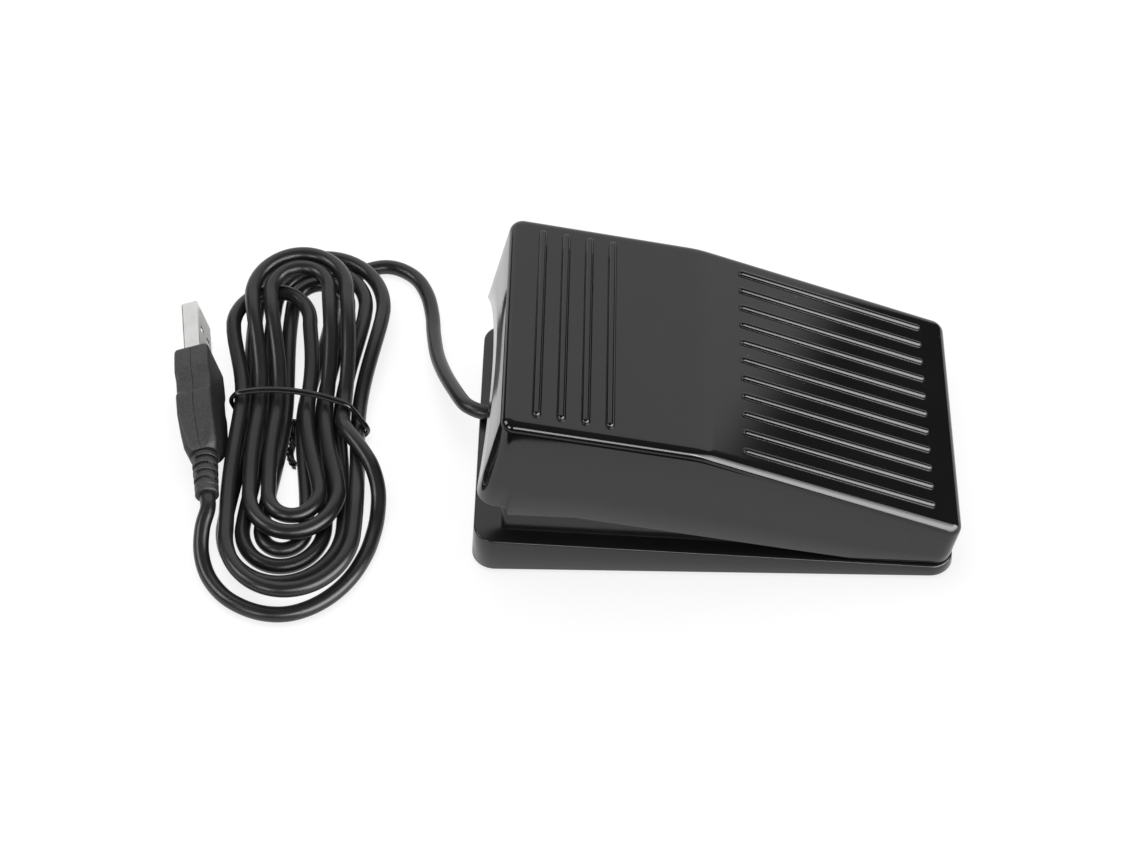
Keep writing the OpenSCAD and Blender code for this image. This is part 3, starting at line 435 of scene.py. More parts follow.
def tube(path, r, sides=10):
    """Round rod of radius r along a list of points"""
    path = [Vector(p) for p in path]
    side = heading(path, 0).orthogonal().normalized()
    rings = []
    for i, place in enumerate(path):
        along = heading(path, i)
        side = (side - along * side.dot(along)).normalized()
        up = along.cross(side)
        rings.append([tuple(place + r * (c * side + s * up)) for c, s in circle(1, sides)])
    return loft(rings, caps=True)


spring_r, spring_wire, spring_len, spring_working = 3.5, 1.0, 18.0, 5
end_pitch, wire_ease, coil_steps = 1.04, 0.02, 28
spring_pitch = (spring_len - (1 + 2 * end_pitch) * spring_wire) / spring_working


def spring_rise(t):
    """Height of the wire's middle t turns up: a closed turn at either end, open ones between"""
    closed = min(t, 1) + max(0, t - 1 - spring_working)
    return spring_wire * (0.5 + end_pitch * closed) + spring_pitch * max(0, min(t - 1, spring_working))


spring_forms = []
for s in (-1, 1):
    turns = [i / coil_steps for i in range(coil_steps * (spring_working + 2) + 1)]
    coil = [(spring_x + spring_r * math.cos(math.tau * t), s * spring_y + spring_r * math.sin(math.tau * t),
             base_floor + spring_rise(t)) for t in turns]
    spring_forms.append(tube(coil, spring_wire / 2 - wire_ease))
spring_steel = finish("spring_steel", (0.52, 0.52, 0.54), (0.2, 0.34), patch=2.5, change=0.1, grain=0.15,
                      depth=0.001, metal=1.0)
springs = make("return_spring_pair", joined(*spring_forms), spring_steel, "base",
               ["return_springs"])
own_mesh(springs)


# ---- Snap-action switch ----
# A bought-in switch: black moulded case, brass blades below, a steel lever strip on top and
# a red plunger under it. Two zinc-plated screws hold it against its wall in the base.

dress("switch_case", finish("switch_plastic", (0.05, 0.05, 0.052), (0.4, 0.55), patch=5, grain=0.2,
                            depth=0.006))
dress("switch_terminals", finish("blade_brass", (0.62, 0.46, 0.2), (0.22, 0.38), patch=2, grain=0.1,
                                 depth=0.001, metal=1.0))
zinc_plate = finish("zinc_plate", (0.55, 0.56, 0.58), (0.2, 0.4), patch=1.5, grain=0.1, depth=0.002,
                    metal=1.0)
dress("switch_screws", zinc_plate)
dress("switch_lever", spring_steel)
dress("switch_plunger", finish("plunger_red", (0.42, 0.06, 0.04), (0.3, 0.45), patch=2, grain=0.15,
                               depth=0.003))


# ---- Circuit board ----
# A small green board on three bosses, with its controller, crystal can, chip capacitors and
# a white wire header soldered on, held by three screws.

solder_mask = finish("solder_mask", (0.02, 0.13, 0.05), (0.25, 0.4), patch=6, change=0.15, grain=0.25,
                     depth=0.003)
tree = solder_mask.node_tree
place = add(tree, "ShaderNodeTexCoord")
track_size = 2.4
tracks = add(tree, "ShaderNodeTexBrick", {"Vector": place.outputs["Object"], "Scale": 1 / (track_size * MM),
                                          "Color1": (0.02, 0.13, 0.05, 1), "Color2": (0.022, 0.15, 0.055, 1),
                                          "Mortar": (0.045, 0.24, 0.09, 1), "Mortar Size": 0.06})
tree.links.new(tracks.outputs["Color"], tree.nodes["Principled BSDF"].inputs["Base Color"])
dress("circuit_board", solder_mask)
dress("controller_chip", finish("chip_epoxy", (0.03, 0.03, 0.03), (0.5, 0.65), patch=3, grain=0.12,
                                depth=0.008))
dress("crystal", finish("crystal_can", (0.62, 0.62, 0.63), (0.2, 0.35), patch=3, grain=0.15, depth=0.002,
                        metal=1.0))
dress("capacitors", finish("capacitor_tan", (0.42, 0.28, 0.14), (0.4, 0.55), patch=1.5, grain=0.1,
                           depth=0.004))
dress("wire_header", finish("header_nylon", (0.74, 0.72, 0.66), (0.4, 0.55), patch=4, change=0.05, grain=0.2,
                            depth=0.004))
dress("board_screws", zinc_plate)


# ---- Cord clamp and wires ----
# A moulded bar, screwed over the cord's jacket, takes the pull. Past it four cores of copper in
# coloured plastic go to the header, and two wires run from the switch's blades to the board.

dress("cord_clamp", satin_black)
dress("clamp_screws", zinc_plate)


def smooth_path(points, steps):
    """Catmull-Rom curve through the points"""
    out = []
    for i in range(len(points) - 1):
        a, b = Vector(points[max(i - 1, 0)]), Vector(points[i])
        c, d = Vector(points[i + 1]), Vector(points[min(i + 2, len(points) - 1)])
        for j in range(steps):
            f = j / steps
            out.append(b + f * (c - a) / 2 + f * f * (a - 2.5 * b + 2 * c - d / 2)
                       + f ** 3 * (1.5 * b - a / 2 - 1.5 * c + d / 2))
    return out + [Vector(points[-1])]


core_r = 0.45


def wire_set(name, paths, coats, replaced):
    """Several insulated wires as one piece, each in its own colour"""
    forms = [tube(smooth_path(path, 6), core_r) for path in paths]
    obj = make(name, joined(*forms), coats[0], "base", [replaced])
    for coat in coats[1:]:
        obj.data.materials.append(coat)
    starts = [sum(len(form[1]) for form in forms[:i]) for i in range(1, len(forms))]
    for polygon in obj.data.polygons:
        polygon.material_index = sum(polygon.index >= s for s in starts)


coat_colours = {"red": (0.42, 0.02, 0.02), "white": (0.72, 0.72, 0.7), "green": (0.02, 0.22, 0.06),
                "black": (0.02, 0.02, 0.02)}
coats = [finish("coat_" + name, colour, (0.35, 0.5), patch=2, change=0.06, grain=0.3, depth=0.003)
         for name, colour in coat_colours.items()]
jacket_end, core_apart, core_pitch = -37.8, 0.7, 1.9
header_x, header_y, board_top = -33.8, -9.1, 8.6
header_top = board_top + 6
core_paths = []
for i in range(4):
    y = cord_y + (-core_apart if i < 2 else core_apart)
    z = cord_z + (-core_apart if i % 2 == 0 else core_apart)
    x = header_x + (i - 1.5) * core_pitch
    core_paths.append([(jacket_end, y, z), (jacket_end + 0.8, y, z), (x - 0.2, y - 1.2, z + 0.3),
                       (x, (y + header_y) / 2, max(z, header_top) + 1.6),
                       (x, header_y + 1.2, header_top + 1.2), (x, header_y, board_top + 2.2)])
wire_set("cord_core_wires", core_paths, coats, "cord_cores")
board_x1, board_y1 = -19.8, -5.1
switch_paths = []
for i, x in enumerate((-13.4, -4.2)):
    y = board_y1 - 3 - 3 * i
    switch_paths.append([(x, -2.1, 5.5 + 0.01 * i), (x - 1, -4.6 - i, 5.8),
                         ((x + board_x1) / 2, (y - 4) / 2, board_top + 2 + i),
                         (board_x1 + 2, y + 0.5, board_top + 2.2), (board_x1 - 1.5, y, board_top + 0.5)])
wire_set("switch_lead_wires", switch_paths, [coats[0], coats[3]], "switch_wires")


# ---- Pedal ----
# The upper moulding: one hollow shell of polished black plastic, its toe plate and falling heel
# plate meeting in a soft crease, edges rolled over, and half-round tread ribs raised on both.

tilt = math.radians(11.8)
toe_u, heel_u = -98.1, 22.2
rim_w, top_w = -4.4, 24.4
shell_half, shell_wall = 36.7, 2.2
shell_lean = math.radians(2.2)
edge_r, rail_corner, heel_edge_w = 2.6, 1.0, 8.5
crease_u, crease_r, heel_fall = -48.1, 30.0, math.radians(10.7)
crease_c = crease_u - crease_r * math.tan(heel_fall / 2)
arch_h, arch_half, arch_depth = 12.5, 33.0, 5.3
arch_r = (arch_half ** 2 + arch_h ** 2) / (2 * arch_h)
notch_at, notch_slope, skirt_end, skirt_drop = 7.7, 0.6, 25.0, 2.6
heel_gap = 0.3


def in_world(p):
    """World place of a point in the tilted pedal's own frame: along, across and up from the hinge"""
    u, v, w = p
    return (hinge_x + u * math.cos(tilt) + w * math.sin(tilt), v,
            hinge_z - u * math.sin(tilt) + w * math.cos(tilt))


def rail(u):
    """Height of the rolled edge's centre line, and how far the plate leans there"""
    inner_r = crease_r - edge_r
    if u <= crease_c:
        return top_w - edge_r, 0.0
    if u < crease_c + inner_r * math.sin(heel_fall):
        lean = math.asin((u - crease_c) / inner_r)
        return top_w - crease_r + inner_r * math.cos(lean), lean
    return (top_w - crease_r + inner_r * math.cos(heel_fall)
            - (u - crease_c - inner_r * math.sin(heel_fall)) * math.tan(heel_fall)), heel_fall


def wall_in(w):
    return (w - rim_w) * math.tan(shell_lean)


def rail_half(u):
    return shell_half - wall_in(rail(u)[0]) - edge_r / math.cos(shell_lean)


def lower_edge(u, v):
    """Height of the shell's lower edge: arch at the toe, notch and skirt on the sides, clear of the deck"""
    w = rim_w
    t = u - toe_u
    if t < arch_depth and abs(v) < arch_half:
        w = max(w, rim_w + arch_h - arch_r + math.sqrt(arch_r ** 2 - v * v))
    if notch_at - notch_slope < t < skirt_end:
        skirt = skirt_drop * (skirt_end - max(t, notch_at + notch_slope)) / (skirt_end - notch_at)
        w -= skirt * min(1, (t - notch_at + notch_slope) / (2 * notch_slope))
    over_deck = (deck_toe_z + heel_gap - hinge_z - deck_fall * (hinge_x + base_half_len)
                 + u * (math.sin(tilt) - deck_fall * math.cos(tilt)))
    return max(w, over_deck / (math.cos(tilt) + deck_fall * math.sin(tilt)))


rail_u0 = toe_u + wall_in(top_w - edge_r) + edge_r / math.cos(shell_lean)
rail_u1 = heel_u - wall_in(heel_edge_w) - edge_r / math.cos(shell_lean)
notch_us = [toe_u + t for t in (notch_at - notch_slope, notch_at, notch_at + notch_slope, skirt_end)]
shell_us = sorted([toe_u + 10 + 2 * i for i in range(18)] + [crease_c - 1 + 0.5 * i for i in range(17)]
                  + [-42 + 2 * i for i in range(30)] + notch_us)
shell_us = [u for u in shell_us if rail_u0 + rail_corner + 0.2 < u < rail_u1 - rail_corner - 0.2]
shell_vs = [-28 + 2 * i for i in range(29)]


def shell_columns(loop):
    """For each point of the loop: roll centre, wall normal, plate normal, way down the wall, lower edge"""
    columns = []
    for u, v, ou, ov in loop:
        w, lean = rail(u)
        wall_n = Vector((ou * math.cos(shell_lean), ov * math.cos(shell_lean), math.sin(shell_lean)))
        plate_n = Vector((math.sin(lean), 0, math.cos(lean)))
        down = Vector((ou * math.sin(shell_lean), ov * math.sin(shell_lean), -math.cos(shell_lean)))
        centre = Vector((u, v, w))
        start = centre + edge_r * wall_n
        foot = start + down * (start.z - rim_w) / math.cos(shell_lean)
        columns.append((centre, wall_n, plate_n, down, lower_edge(foot.x, foot.y)))
    return columns


def wall_point(column, r, w):
    centre, wall_n, plate_n, down, low = column
    start = centre + r * wall_n
    return start + down * (start.z - w) / math.cos(shell_lean)


shell_loop = plan_loop(rail_u0, rail_u1, rail_half, rail_corner, shell_us, shell_vs)
columns = shell_columns(shell_loop)
roll_steps, lip = 9, 0.45
inner_r = edge_r - shell_wall
lip_steps = [(inner_r, (columns[0][0].z - rim_w) * 0.02), (inner_r + 0.3, 0), (edge_r - lip, 0),
             (edge_r - 0.13, 0.13), (edge_r, lip)]
shell_rings = [[c + inner_r * wn.slerp(pn, 1 - i / 3) for c, wn, pn, d, low in columns] for i in range(4)]
shell_rings += [[wall_point(col, r, col[4] + up) for col in columns] for r, up in lip_steps]
shell_rings += [[wall_point(col, edge_r, col[4] + lip + f * (col[0].z - col[4] - lip)) for col in columns]
                for f in (0.3, 0.65)]
shell_rings += [[c + edge_r * wn.slerp(pn, i / roll_steps) for c, wn, pn, d, low in columns]
                for i in range(roll_steps + 1)]
shell_points, shell_faces = loft([[tuple(p) for p in ring] for ring in shell_rings])


def close_plate(ring_start, r):
    """Fills a loop of the shell with a grid that follows the plates"""
    runs = [rail_u0 + rail_corner] + shell_us + [rail_u1 - rail_corner]
    first = len(shell_points)
    rows = len(shell_vs) + 2
    for u in runs:
        w, lean = rail(u)
        side = rail_half(u) - rail_corner
        for v in [-side] + shell_vs + [side]:
            shell_points.append((u + r * math.sin(lean), v, w + r * math.cos(lean)))
    last = len(runs) - 1

    def at(i, j):
        return first + i * rows + j
    shell_faces.extend((at(i, j), at(i + 1, j), at(i + 1, j + 1), at(i, j + 1))
                       for i in range(last) for j in range(rows - 1))
    turn = corner_steps - 1
    rim = ([at(i, 0) for i in range(last + 1)] + [at(last, 0)] * turn + [at(last, j) for j in range(rows)]
           + [at(last, rows - 1)] * turn + [at(i, rows - 1) for i in range(last, -1, -1)]
           + [at(0, rows - 1)] * turn + [at(0, j) for j in range(rows - 1, -1, -1)] + [at(0, 0)] * turn)
    n = len(rim)
    for k in range(n):
        m = (k + 1) % n
        corners = [ring_start + k, ring_start + m, rim[m], rim[k]]
        shell_faces.append(tuple(dict.fromkeys(corners)))


loop_len = len(shell_loop)
close_plate((len(shell_rings) - 1) * loop_len, edge_r)
close_plate(0, inner_r)

long_rib_r, cross_rib_r, rib_pitch = 0.92, 1.1, 6.0
long_rib_start, long_rib_len, long_ribs_beside = 10.7, 52.4, 5
cross_rib_start, cross_rib_half, cross_ribs = 9.3, 31.35, 4
rib_foot = [(0.12, -0.4), (0.12, 0.002), (0.065, 0.012), (0.022, 0.045), (-0.003, 0.11)]
rib_rise = (12, 24, 36, 48, 60, 71, 81)


def rib(r, start, along, side, up, length):
    """Half-round rib with ball ends and a small fillet at its foot, from its tip at start"""
    start, along, side, up = Vector(start), Vector(along), Vector(side), Vector(up)
    ends = (start + along * r, start + along * (length - r))
    half = 10
    rings = []
    for d, h in [(r + out, h) for out, h in rib_foot] + arc_at(0, 0, r, rib_rise):
        ring = []
        for end, turn in ((1, -90), (0, 90)):
            for i in range(half + 1):
                a = math.radians(turn + 180 * i / half)
                ring.append(tuple(ends[end] + d * (math.cos(a) * along + math.sin(a) * side) + h * up))
        rings.append(ring)
    points, faces = loft(rings)
    n = len(rings[0])
    top = len(points)
    points += [tuple(ends[1] + r * up), tuple(ends[0] + r * up)]
    last = (len(rings) - 1) * n
    for k in range(half):
        faces += [(last + k, last + k + 1, top), (last + half + 1 + k, last + half + 2 + k, top + 1)]
    faces += [(last + half, last + half + 1, top + 1, top), (last + n - 1, last, top, top + 1)]
    return points, faces + [tuple(reversed(range(n)))]


fall_along = (math.cos(heel_fall), 0, -math.sin(heel_fall))
fall_up = (math.sin(heel_fall), 0, math.cos(heel_fall))
long_rib_u = crease_u + long_rib_start
long_rib_w = top_w - long_rib_start * math.tan(heel_fall)
ribs = [rib(long_rib_r, (long_rib_u, i * rib_pitch, long_rib_w), fall_along, (0, 1, 0), fall_up, long_rib_len)
        for i in range(-long_ribs_beside, long_ribs_beside + 1)]
ribs += [rib(cross_rib_r, (toe_u + cross_rib_start + i * rib_pitch, -cross_rib_half, top_w), (0, 1, 0),
             (-1, 0, 0), (0, 0, 1), 2 * cross_rib_half) for i in range(cross_ribs)]

# The ears, cups and post run a little way into the plates from below
ear_bite, cup_bite = 1.3, 1.2


def plate_under(u):
    return top_w - max(0, u - crease_u) * math.tan(heel_fall) - ear_bite


ear_y0, ear_y1 = 21.9, 26.9
ear_side = [(hinge_r, plate_under(hinge_r)), (-hinge_r, plate_under(-hinge_r)),
            *arc_at(0, 0, hinge_r, range(180, 361, 9))]
ears = [slab(ear_side, s * ear_y0, s * ear_y1) for s in (-1, 1)]
shell_form = joined((shell_points, shell_faces), *ribs, *ears)


def plate_z(x):
    """World height in the heel plate's thickness over a place x"""
    x0, y0, z0 = in_world((crease_u, 0, top_w))
    return z0 - (x - x0) * math.tan(tilt + heel_fall) - cup_bite


cup_out, cup_in, cup_low, cup_seat, cup_bevel, cup_sides = 5.9, 4.5, 17.0, 21.0, 0.2, 40
cup_steps = [(cup_in, cup_seat), (cup_in, cup_low + cup_bevel), (cup_in + cup_bevel, cup_low),
             (cup_out - cup_bevel, cup_low), (cup_out, cup_low + cup_bevel), (cup_out, None)]
cups = [loft([[(spring_x + x, s * spring_y + y, height or plate_z(spring_x + x))
               for x, y in circle(r, cup_sides)] for r, height in cup_steps], caps=True) for s in (-1, 1)]
tip_x, tip_low, tip_r, post_half, post_half_w = 0.2, 24.82, 1.5, 2.5, 3.5
tip_z = tip_low + tip_r
post_outline = [(tip_x + post_half, tip_z), (tip_x + post_half, plate_z(tip_x + post_half)),
                (tip_x - post_half, plate_z(tip_x - post_half)), (tip_x - post_half, tip_z),
                *arc_at(tip_x, tip_z, tip_r, range(180, 361, 15))]
pedal_form = joined(([in_world(p) for p in shell_form[0]], shell_form[1]), *cups,
                    slab(post_outline, -post_half_w, post_half_w))

polished_black = finish("polished_black", (0.012, 0.012, 0.0125), (0.05, 0.1), patch=22, change=0.1,
                        grain=1.8, depth=0.0012)
tree = polished_black.node_tree
place = add(tree, "ShaderNodeTexCoord")
speck_apart, speck_edge, speck_tone = 7, (0.03, 0.018), (0.16, 0.16, 0.16, 1)
dust = add(tree, "ShaderNodeTexVoronoi", {"Vector": place.outputs["Object"], "Scale": 1 / (speck_apart * MM)})
speck = add(tree, "ShaderNodeMapRange", {"Value": dust.outputs["Distance"], "From Min": speck_edge[0],
                                         "From Max": speck_edge[1]})
bare = tree.nodes["Color Ramp"].outputs[0]
dusted = add(tree, "ShaderNodeMix", {0: speck.outputs[0], 6: bare, 7: speck_tone}, data_type="RGBA")
tree.links.new(dusted.outputs[2], tree.nodes["Principled BSDF"].inputs["Base Color"])
make("pedal_moulding", pedal_form, polished_black, "pedal", ["pedal_shell"], sharp=36)


# ---- Cord ----
# A round four-core lead in a soft black jacket, 4 mm thick. It leaves through the slot in the inner
# wall, drops to the table, and is wound in a long hank of six loops before it ends in the plug.

hank_step, hank_rise, tie_r = 4.8, 4.85, 0.6
far_x, far_w, far_y, far_fan = (-106.0, -110.6), (3.8 * hank_step, 2.875 * hank_step), (66.6, 58.4), 5.0
near_x, near_w = (-107.4, -105.1), (3.92 * hank_step, 3.1 * hank_step)
near_y, near_fan = (-47.8, -35.2), 5.3
waist_x, waist_w = (-107.7, -107.7), (3.25 * hank_step, 2.55 * hank_step)
waist_y, waist_lift = 10.5, 2 * tie_r + 0.3
arc_tall, climb_loop, climb_short, climb_reach = 1.15, 3, 7.0, 13.0
climb_from, climb_share, lift_y, lift_over = 0.5, 0.42, 8, 32
hank_start, hank_end, loop_points = 1 / 6, 2 * climb_loop + 1 / 4, 144


def eased(q):
    c = max(0.0, min(1.0, q))
    return c * c * (3 - 2 * c)


def layers(k):
    """Layer of loop k at its far arc and at its near arc, 0 for the lower and 1 for the upper"""
    return int(k > climb_loop), int(k >= climb_loop)


def inward(k):
    return (2 if k > climb_loop else 1) * climb_loop - k


def right_edge(mid, half, layer, k):
    return mid[layer] + half[layer] - hank_step * inward(k)


def left_edge(mid, half, layer, k):
    return mid[layer] - half[layer] + hank_step * (inward(k) - 0.5)


def far_arc(k):
    """Middle x, radius, and the y where the runs meet the arc"""
    layer = layers(k)[0]
    a, b = left_edge(far_x, far_w, layers(k - 1)[1], k - 1), right_edge(far_x, far_w, layer, k)
    steps = (inward(k - 1) - 0.5 + inward(k)) / 2
    short = climb_short if k == climb_loop + 1 else 0
    return (a + b) / 2, (b - a) / 2, far_y[layer] - far_fan * steps - arc_tall * (b - a) / 2 - short


def near_arc(k):
    layer = layers(k)[1]
    a, b = left_edge(near_x, near_w, layer, k), right_edge(near_x, near_w, layer, k)
    reach = climb_reach if k == climb_loop else 0
    return ((a + b) / 2, (b - a) / 2,
            near_y[layer] + near_fan * (inward(k) - 0.25) + arc_tall * (b - a) / 2 - reach)


def far_lift(k, y):
    """At the far end the loops lie on the lead and on one another"""
    return (0 if k == 0 else 2 if k > climb_loop + 1 else 1) * hank_rise * eased((y - lift_y) / lift_over)


def run_place(x0, x1, x_waist, y0, y1, f, layer, k):
    q = (y0 - waist_y) / (y0 - y1)
    w = eased(min(f / q, (1 - f) / (1 - q)))
    y = y0 + (y1 - y0) * f
    return Vector(((x0 + (x1 - x0) * f) * (1 - w) + x_waist * w, y,
                   cord_r + hank_rise * layer + far_lift(k, y) + waist_lift * w))


def hank_place(t):
    """Centre of the cord t loops into the hank, clockwise from its far end"""
    k = math.floor(t + 1 / 6)
    s = t - k
    far_layer, near_layer = layers(k)
    if s <= 1 / 6:
        mid, r, y = far_arc(k)
        a = math.radians(540 * s)
        y += arc_tall * r * math.cos(a)
        return Vector((mid + r * math.sin(a), y, cord_r + hank_rise * far_layer + far_lift(k, y)))
    if s <= 1 / 3:
        f = 6 * s - 1
        climb = eased((f - climb_from) / climb_share) if k == climb_loop else 0
        return run_place(right_edge(far_x, far_w, far_layer, k), right_edge(near_x, near_w, near_layer, k),
                         right_edge(waist_x, waist_w, far_layer, k), far_arc(k)[2], near_arc(k)[2], f,
                         far_layer + climb, k)
    if s <= 2 / 3:
        mid, r, y = near_arc(k)
        a = math.radians(270 - 540 * s)
        y -= arc_tall * r * math.cos(a)
        return Vector((mid + r * math.sin(a), y, cord_r + hank_rise * near_layer))
    return run_place(left_edge(far_x, far_w, near_layer, k), left_edge(near_x, near_w, near_layer, k),
                     left_edge(waist_x, waist_w, near_layer, k), far_arc(k + 1)[2], near_arc(k)[2], 5 - 6 * s,
                     near_layer, k + 1)


plug_yaw, plug_roll = math.radians(9), math.radians(12)
mould_half, mould_half_z, relief_end = 4.7, 8, 46.0
plug_at = Vector((-135.1, 23.9, mould_half_z * math.cos(plug_roll) + mould_half * math.sin(plug_roll)))


def behind_plug(y):
    return plug_at + Vector((-y * math.sin(plug_yaw), y * math.cos(plug_yaw), 0))


lead_route = [(-53, cord_y, cord_z), (-56.5, cord_y, cord_z), (-59.5, 4.1, 13.6), (-62.2, 5.7, 13.3),
              (-64.2, 8.2, 12.5), (-66.8, 14, 10.6), (-70, 22.5, 7.8), (-72.5, 31.5, 5), (-74, 41, 3),
              (-74.8, 48.5, 2.1), (-76.5, 56, 2), (-79.5, 62, 2), (-83.7, 65.6, 2), (-88, 67, 2),
              (-92.4, 66.2, 2), (-96.4, 63.8, 2), (-99.8, 60, 2)]
tail_route = [(-94, 0.4, 9.6), (-90.4, -4.8, 9.5), (-86.9, -10.4, 8.2), (-85, -16.4, 5.5), (-85, -23, 2.9),
              (-85.9, -29, 2), (-87.2, -34.4, 2), (-90, -41, 2), (-94, -46.6, 2), (-99, -50.8, 2),
              (-104.6, -53.2, 2), (-110.4, -53.4, 2), (-116.2, -51.6, 2), (-121.6, -48, 2),
              (-126, -42.4, 2.4), (-128.2, -36.4, 4.2), (-128.3, -30.6, 7)]
hank_count = round((hank_end - hank_start) * loop_points)
hank_loops = [hank_place(hank_start + i / loop_points) for i in range(hank_count + 1)]
step_out = Vector((0, 2 * cord_r, 0))
head, foot = hank_loops[0] + step_out, hank_loops[-1] - step_out
lead_start = [(jacket_end, cord_y, cord_z), (clamp_x, cord_y, cord_z)]
lead_line = smooth_path(lead_start + lead_route + [head + step_out, head], 6)
tail_end = [behind_plug(-relief_end + past) for past in (-4, 0, 6)]
tail_line = smooth_path([foot, foot - step_out] + tail_route + tail_end, 6)
cord_line = [Vector((p.x, p.y, max(p.z, cord_r))) for p in lead_line + hank_loops + tail_line]

soft_jacket = finish("soft_jacket", (0.016, 0.016, 0.0165), (0.28, 0.36), patch=7, change=0.15, grain=0.8,
                     depth=0.004)
line = bpy.data.curves.new("cord_jacket", "CURVE")
line.dimensions = "3D"
line.bevel_depth = cord_r * MM
line.bevel_resolution = 6
line.use_fill_caps = True
spline = line.splines.new("POLY")
spline.points.add(len(cord_line) - 1)
for point, place in zip(spline.points, cord_line):
    point.co = (place.x * MM, place.y * MM, place.z * MM, 1)
spline.use_smooth = True
line.materials.append(soft_jacket)
jacket = placed("cord_jacket", line)
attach(jacket, "base")
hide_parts("cord_lead", "cord_hank", "cord_tail")


# ---- Twist tie ----
# A wire in a narrow strip of glossy black plastic, drawn once round the waist of the hank and
# twisted shut, with its two ends left as a short twist on the table between the runs.

tie_slant, tie_bow, tie_arch, tie_top_x, tie_half = -0.12, 2.0, 1.8, -111.0, 17.0


def hull_of(points):
    """Corners of the tightest band round a set of (x, z) points, in order"""
    points = sorted(set(points))

    def half(ordered):
        out = []
        for p in ordered:
            while len(out) > 1 and ((out[-1][0] - out[-2][0]) * (p[1] - out[-2][1])
                                    - (out[-1][1] - out[-2][1]) * (p[0] - out[-2][0])) <= 0:
                out.pop()
            out.append(p)
        return out[:-1]
    return half(points) + half(points[::-1])


def tie_y(x):
    """The band runs aslant, its two sides drawn a little to the front"""
    return waist_y + tie_slant * (x - waist_x[0]) - tie_bow * ((x - waist_x[0]) / tie_half) ** 2


waist_runs = []
for a, b in zip(cord_line, cord_line[1:]):
    before, after = a.y - tie_y(a.x), b.y - tie_y(b.x)
    if a.x < far_x[0] + far_w[0] and before * after <= 0 and before != after:
        cross = a + (b - a) * before / (before - after)
        waist_runs.append((cross.x, cross.z))
tie_ease, wrap_sides, wrap_step = 0.12, 36, 0.6
wrap = circle(cord_r + tie_r + tie_ease, wrap_sides)
around = [(x + dx, max(z + dz, tie_r)) for x, z in waist_runs for dx, dz in wrap]
band = hull_of([(round(x, 4), round(z, 4)) for x, z in around])
band_top = max(z for x, z in band)
tie_path = []
for (x0, z0), (x1, z1) in zip(band, band[1:] + band[:1]):
    steps = max(1, round(math.hypot(x1 - x0, z1 - z0) / wrap_step))
    for i in range(steps):
        x, z = x0 + (x1 - x0) * i / steps, z0 + (z1 - z0) * i / steps
        slack = tie_arch * max(0, 1 - ((x - tie_top_x) / tie_half) ** 2)
        slack *= eased((z - tie_r) / (band_top - tie_r))
        tie_path.append(Vector((x, tie_y(x), z + slack)))
tie_side = [(-1.0, 0), (-0.96, 0.17), (-0.6, 0.21), (-0.4, 0.43), (-0.2, 0.56), (0, tie_r), (0.2, 0.56),
            (0.4, 0.43), (0.6, 0.21), (0.96, 0.17)]
tie_section = tie_side + [(-w, -t) for w, t in tie_side]


def strip(path, broad, size=1.0):
    """Rings of the strip along a path, its broad way given at each point"""
    rings = []
    for i, place in enumerate(path):
        along = heading(path, i)
        side = (broad[i] - along * broad[i].dot(along)).normalized()
        up = along.cross(side)
        rings.append([tuple(place + size * (w * side + t * up)) for w, t in tie_section])
    return rings


stub_route = [(-109.6, 10.4), (-109.2, 6), (-109, 2.5), (-109.3, -0.5), (-108.8, -3), (-107.5, -4.9)]
stub_line = smooth_path([(x, y, 2 * tie_r) for x, y in stub_route], 8)
stub_pitch, stub_size, stub_part = 11.0, 0.85, 0.5
stub_wires = []
for turn in (0, math.pi):
    wire, broad, gone = [], [], 0.0
    for i, place in enumerate(stub_line):
        along = heading(stub_line, i)
        side = along.cross(Vector((0, 0, 1))).normalized()
        gone += (place - stub_line[max(i - 1, 0)]).length
        a = turn + math.tau * gone / stub_pitch
        wire.append(place + stub_part * (math.cos(a) * side + math.sin(a) * side.cross(along)))
        broad.append(math.cos(a) * side.cross(along) - math.sin(a) * side)
    stub_wires.append(loft(strip(wire, broad, stub_size), caps=True))
gloss_tie = finish("gloss_tie", (0.012, 0.012, 0.012), (0.12, 0.22), patch=3, change=0.1, grain=0.5,
                   depth=0.003)
tie_loop = tie_path[-1:] + tie_path + tie_path[:2]
tie_rings = strip(tie_loop, [Vector((0, 1, 0))] * len(tie_loop))[1:-1]
tie = make("twist_tie", joined(loft(tie_rings), *stub_wires), gloss_tie, "base", ["cord_tie"])


# ---- Plug ----
# The connector on the cord's end: a folded nickel shell round a white tongue with gilt contacts,
# in a grained black overmould with a drawn-in grip, and a ringed strain relief behind it.

def in_plug(p):
    """World place of a point in the plug's own frame, whose y runs out along its metal shell"""
    x, y, z = p
    rx = x * math.cos(plug_roll) - z * math.sin(plug_roll)
    rz = x * math.sin(plug_roll) + z * math.cos(plug_roll)
    return (plug_at.x + rx * math.cos(plug_yaw) - y * math.sin(plug_yaw),
            plug_at.y + rx * math.sin(plug_yaw) + y * math.cos(plug_yaw), plug_at.z + rz)


quarters = ((1, 1, 0), (-1, 1, 90), (-1, -1, 180), (1, -1, 270))


def quarter(y, ax, az, r, cx, cz, start, steps):
    """One rounded corner of a section of the plug, with its ends"""
    degrees = [start + 90 * i / steps for i in range(steps + 1)]
    return [(x, y, z) for x, z in arc_at(cx * (ax - r), cz * (az - r), r, degrees)]


seam_half, seam_deep = 0.13, 0.14


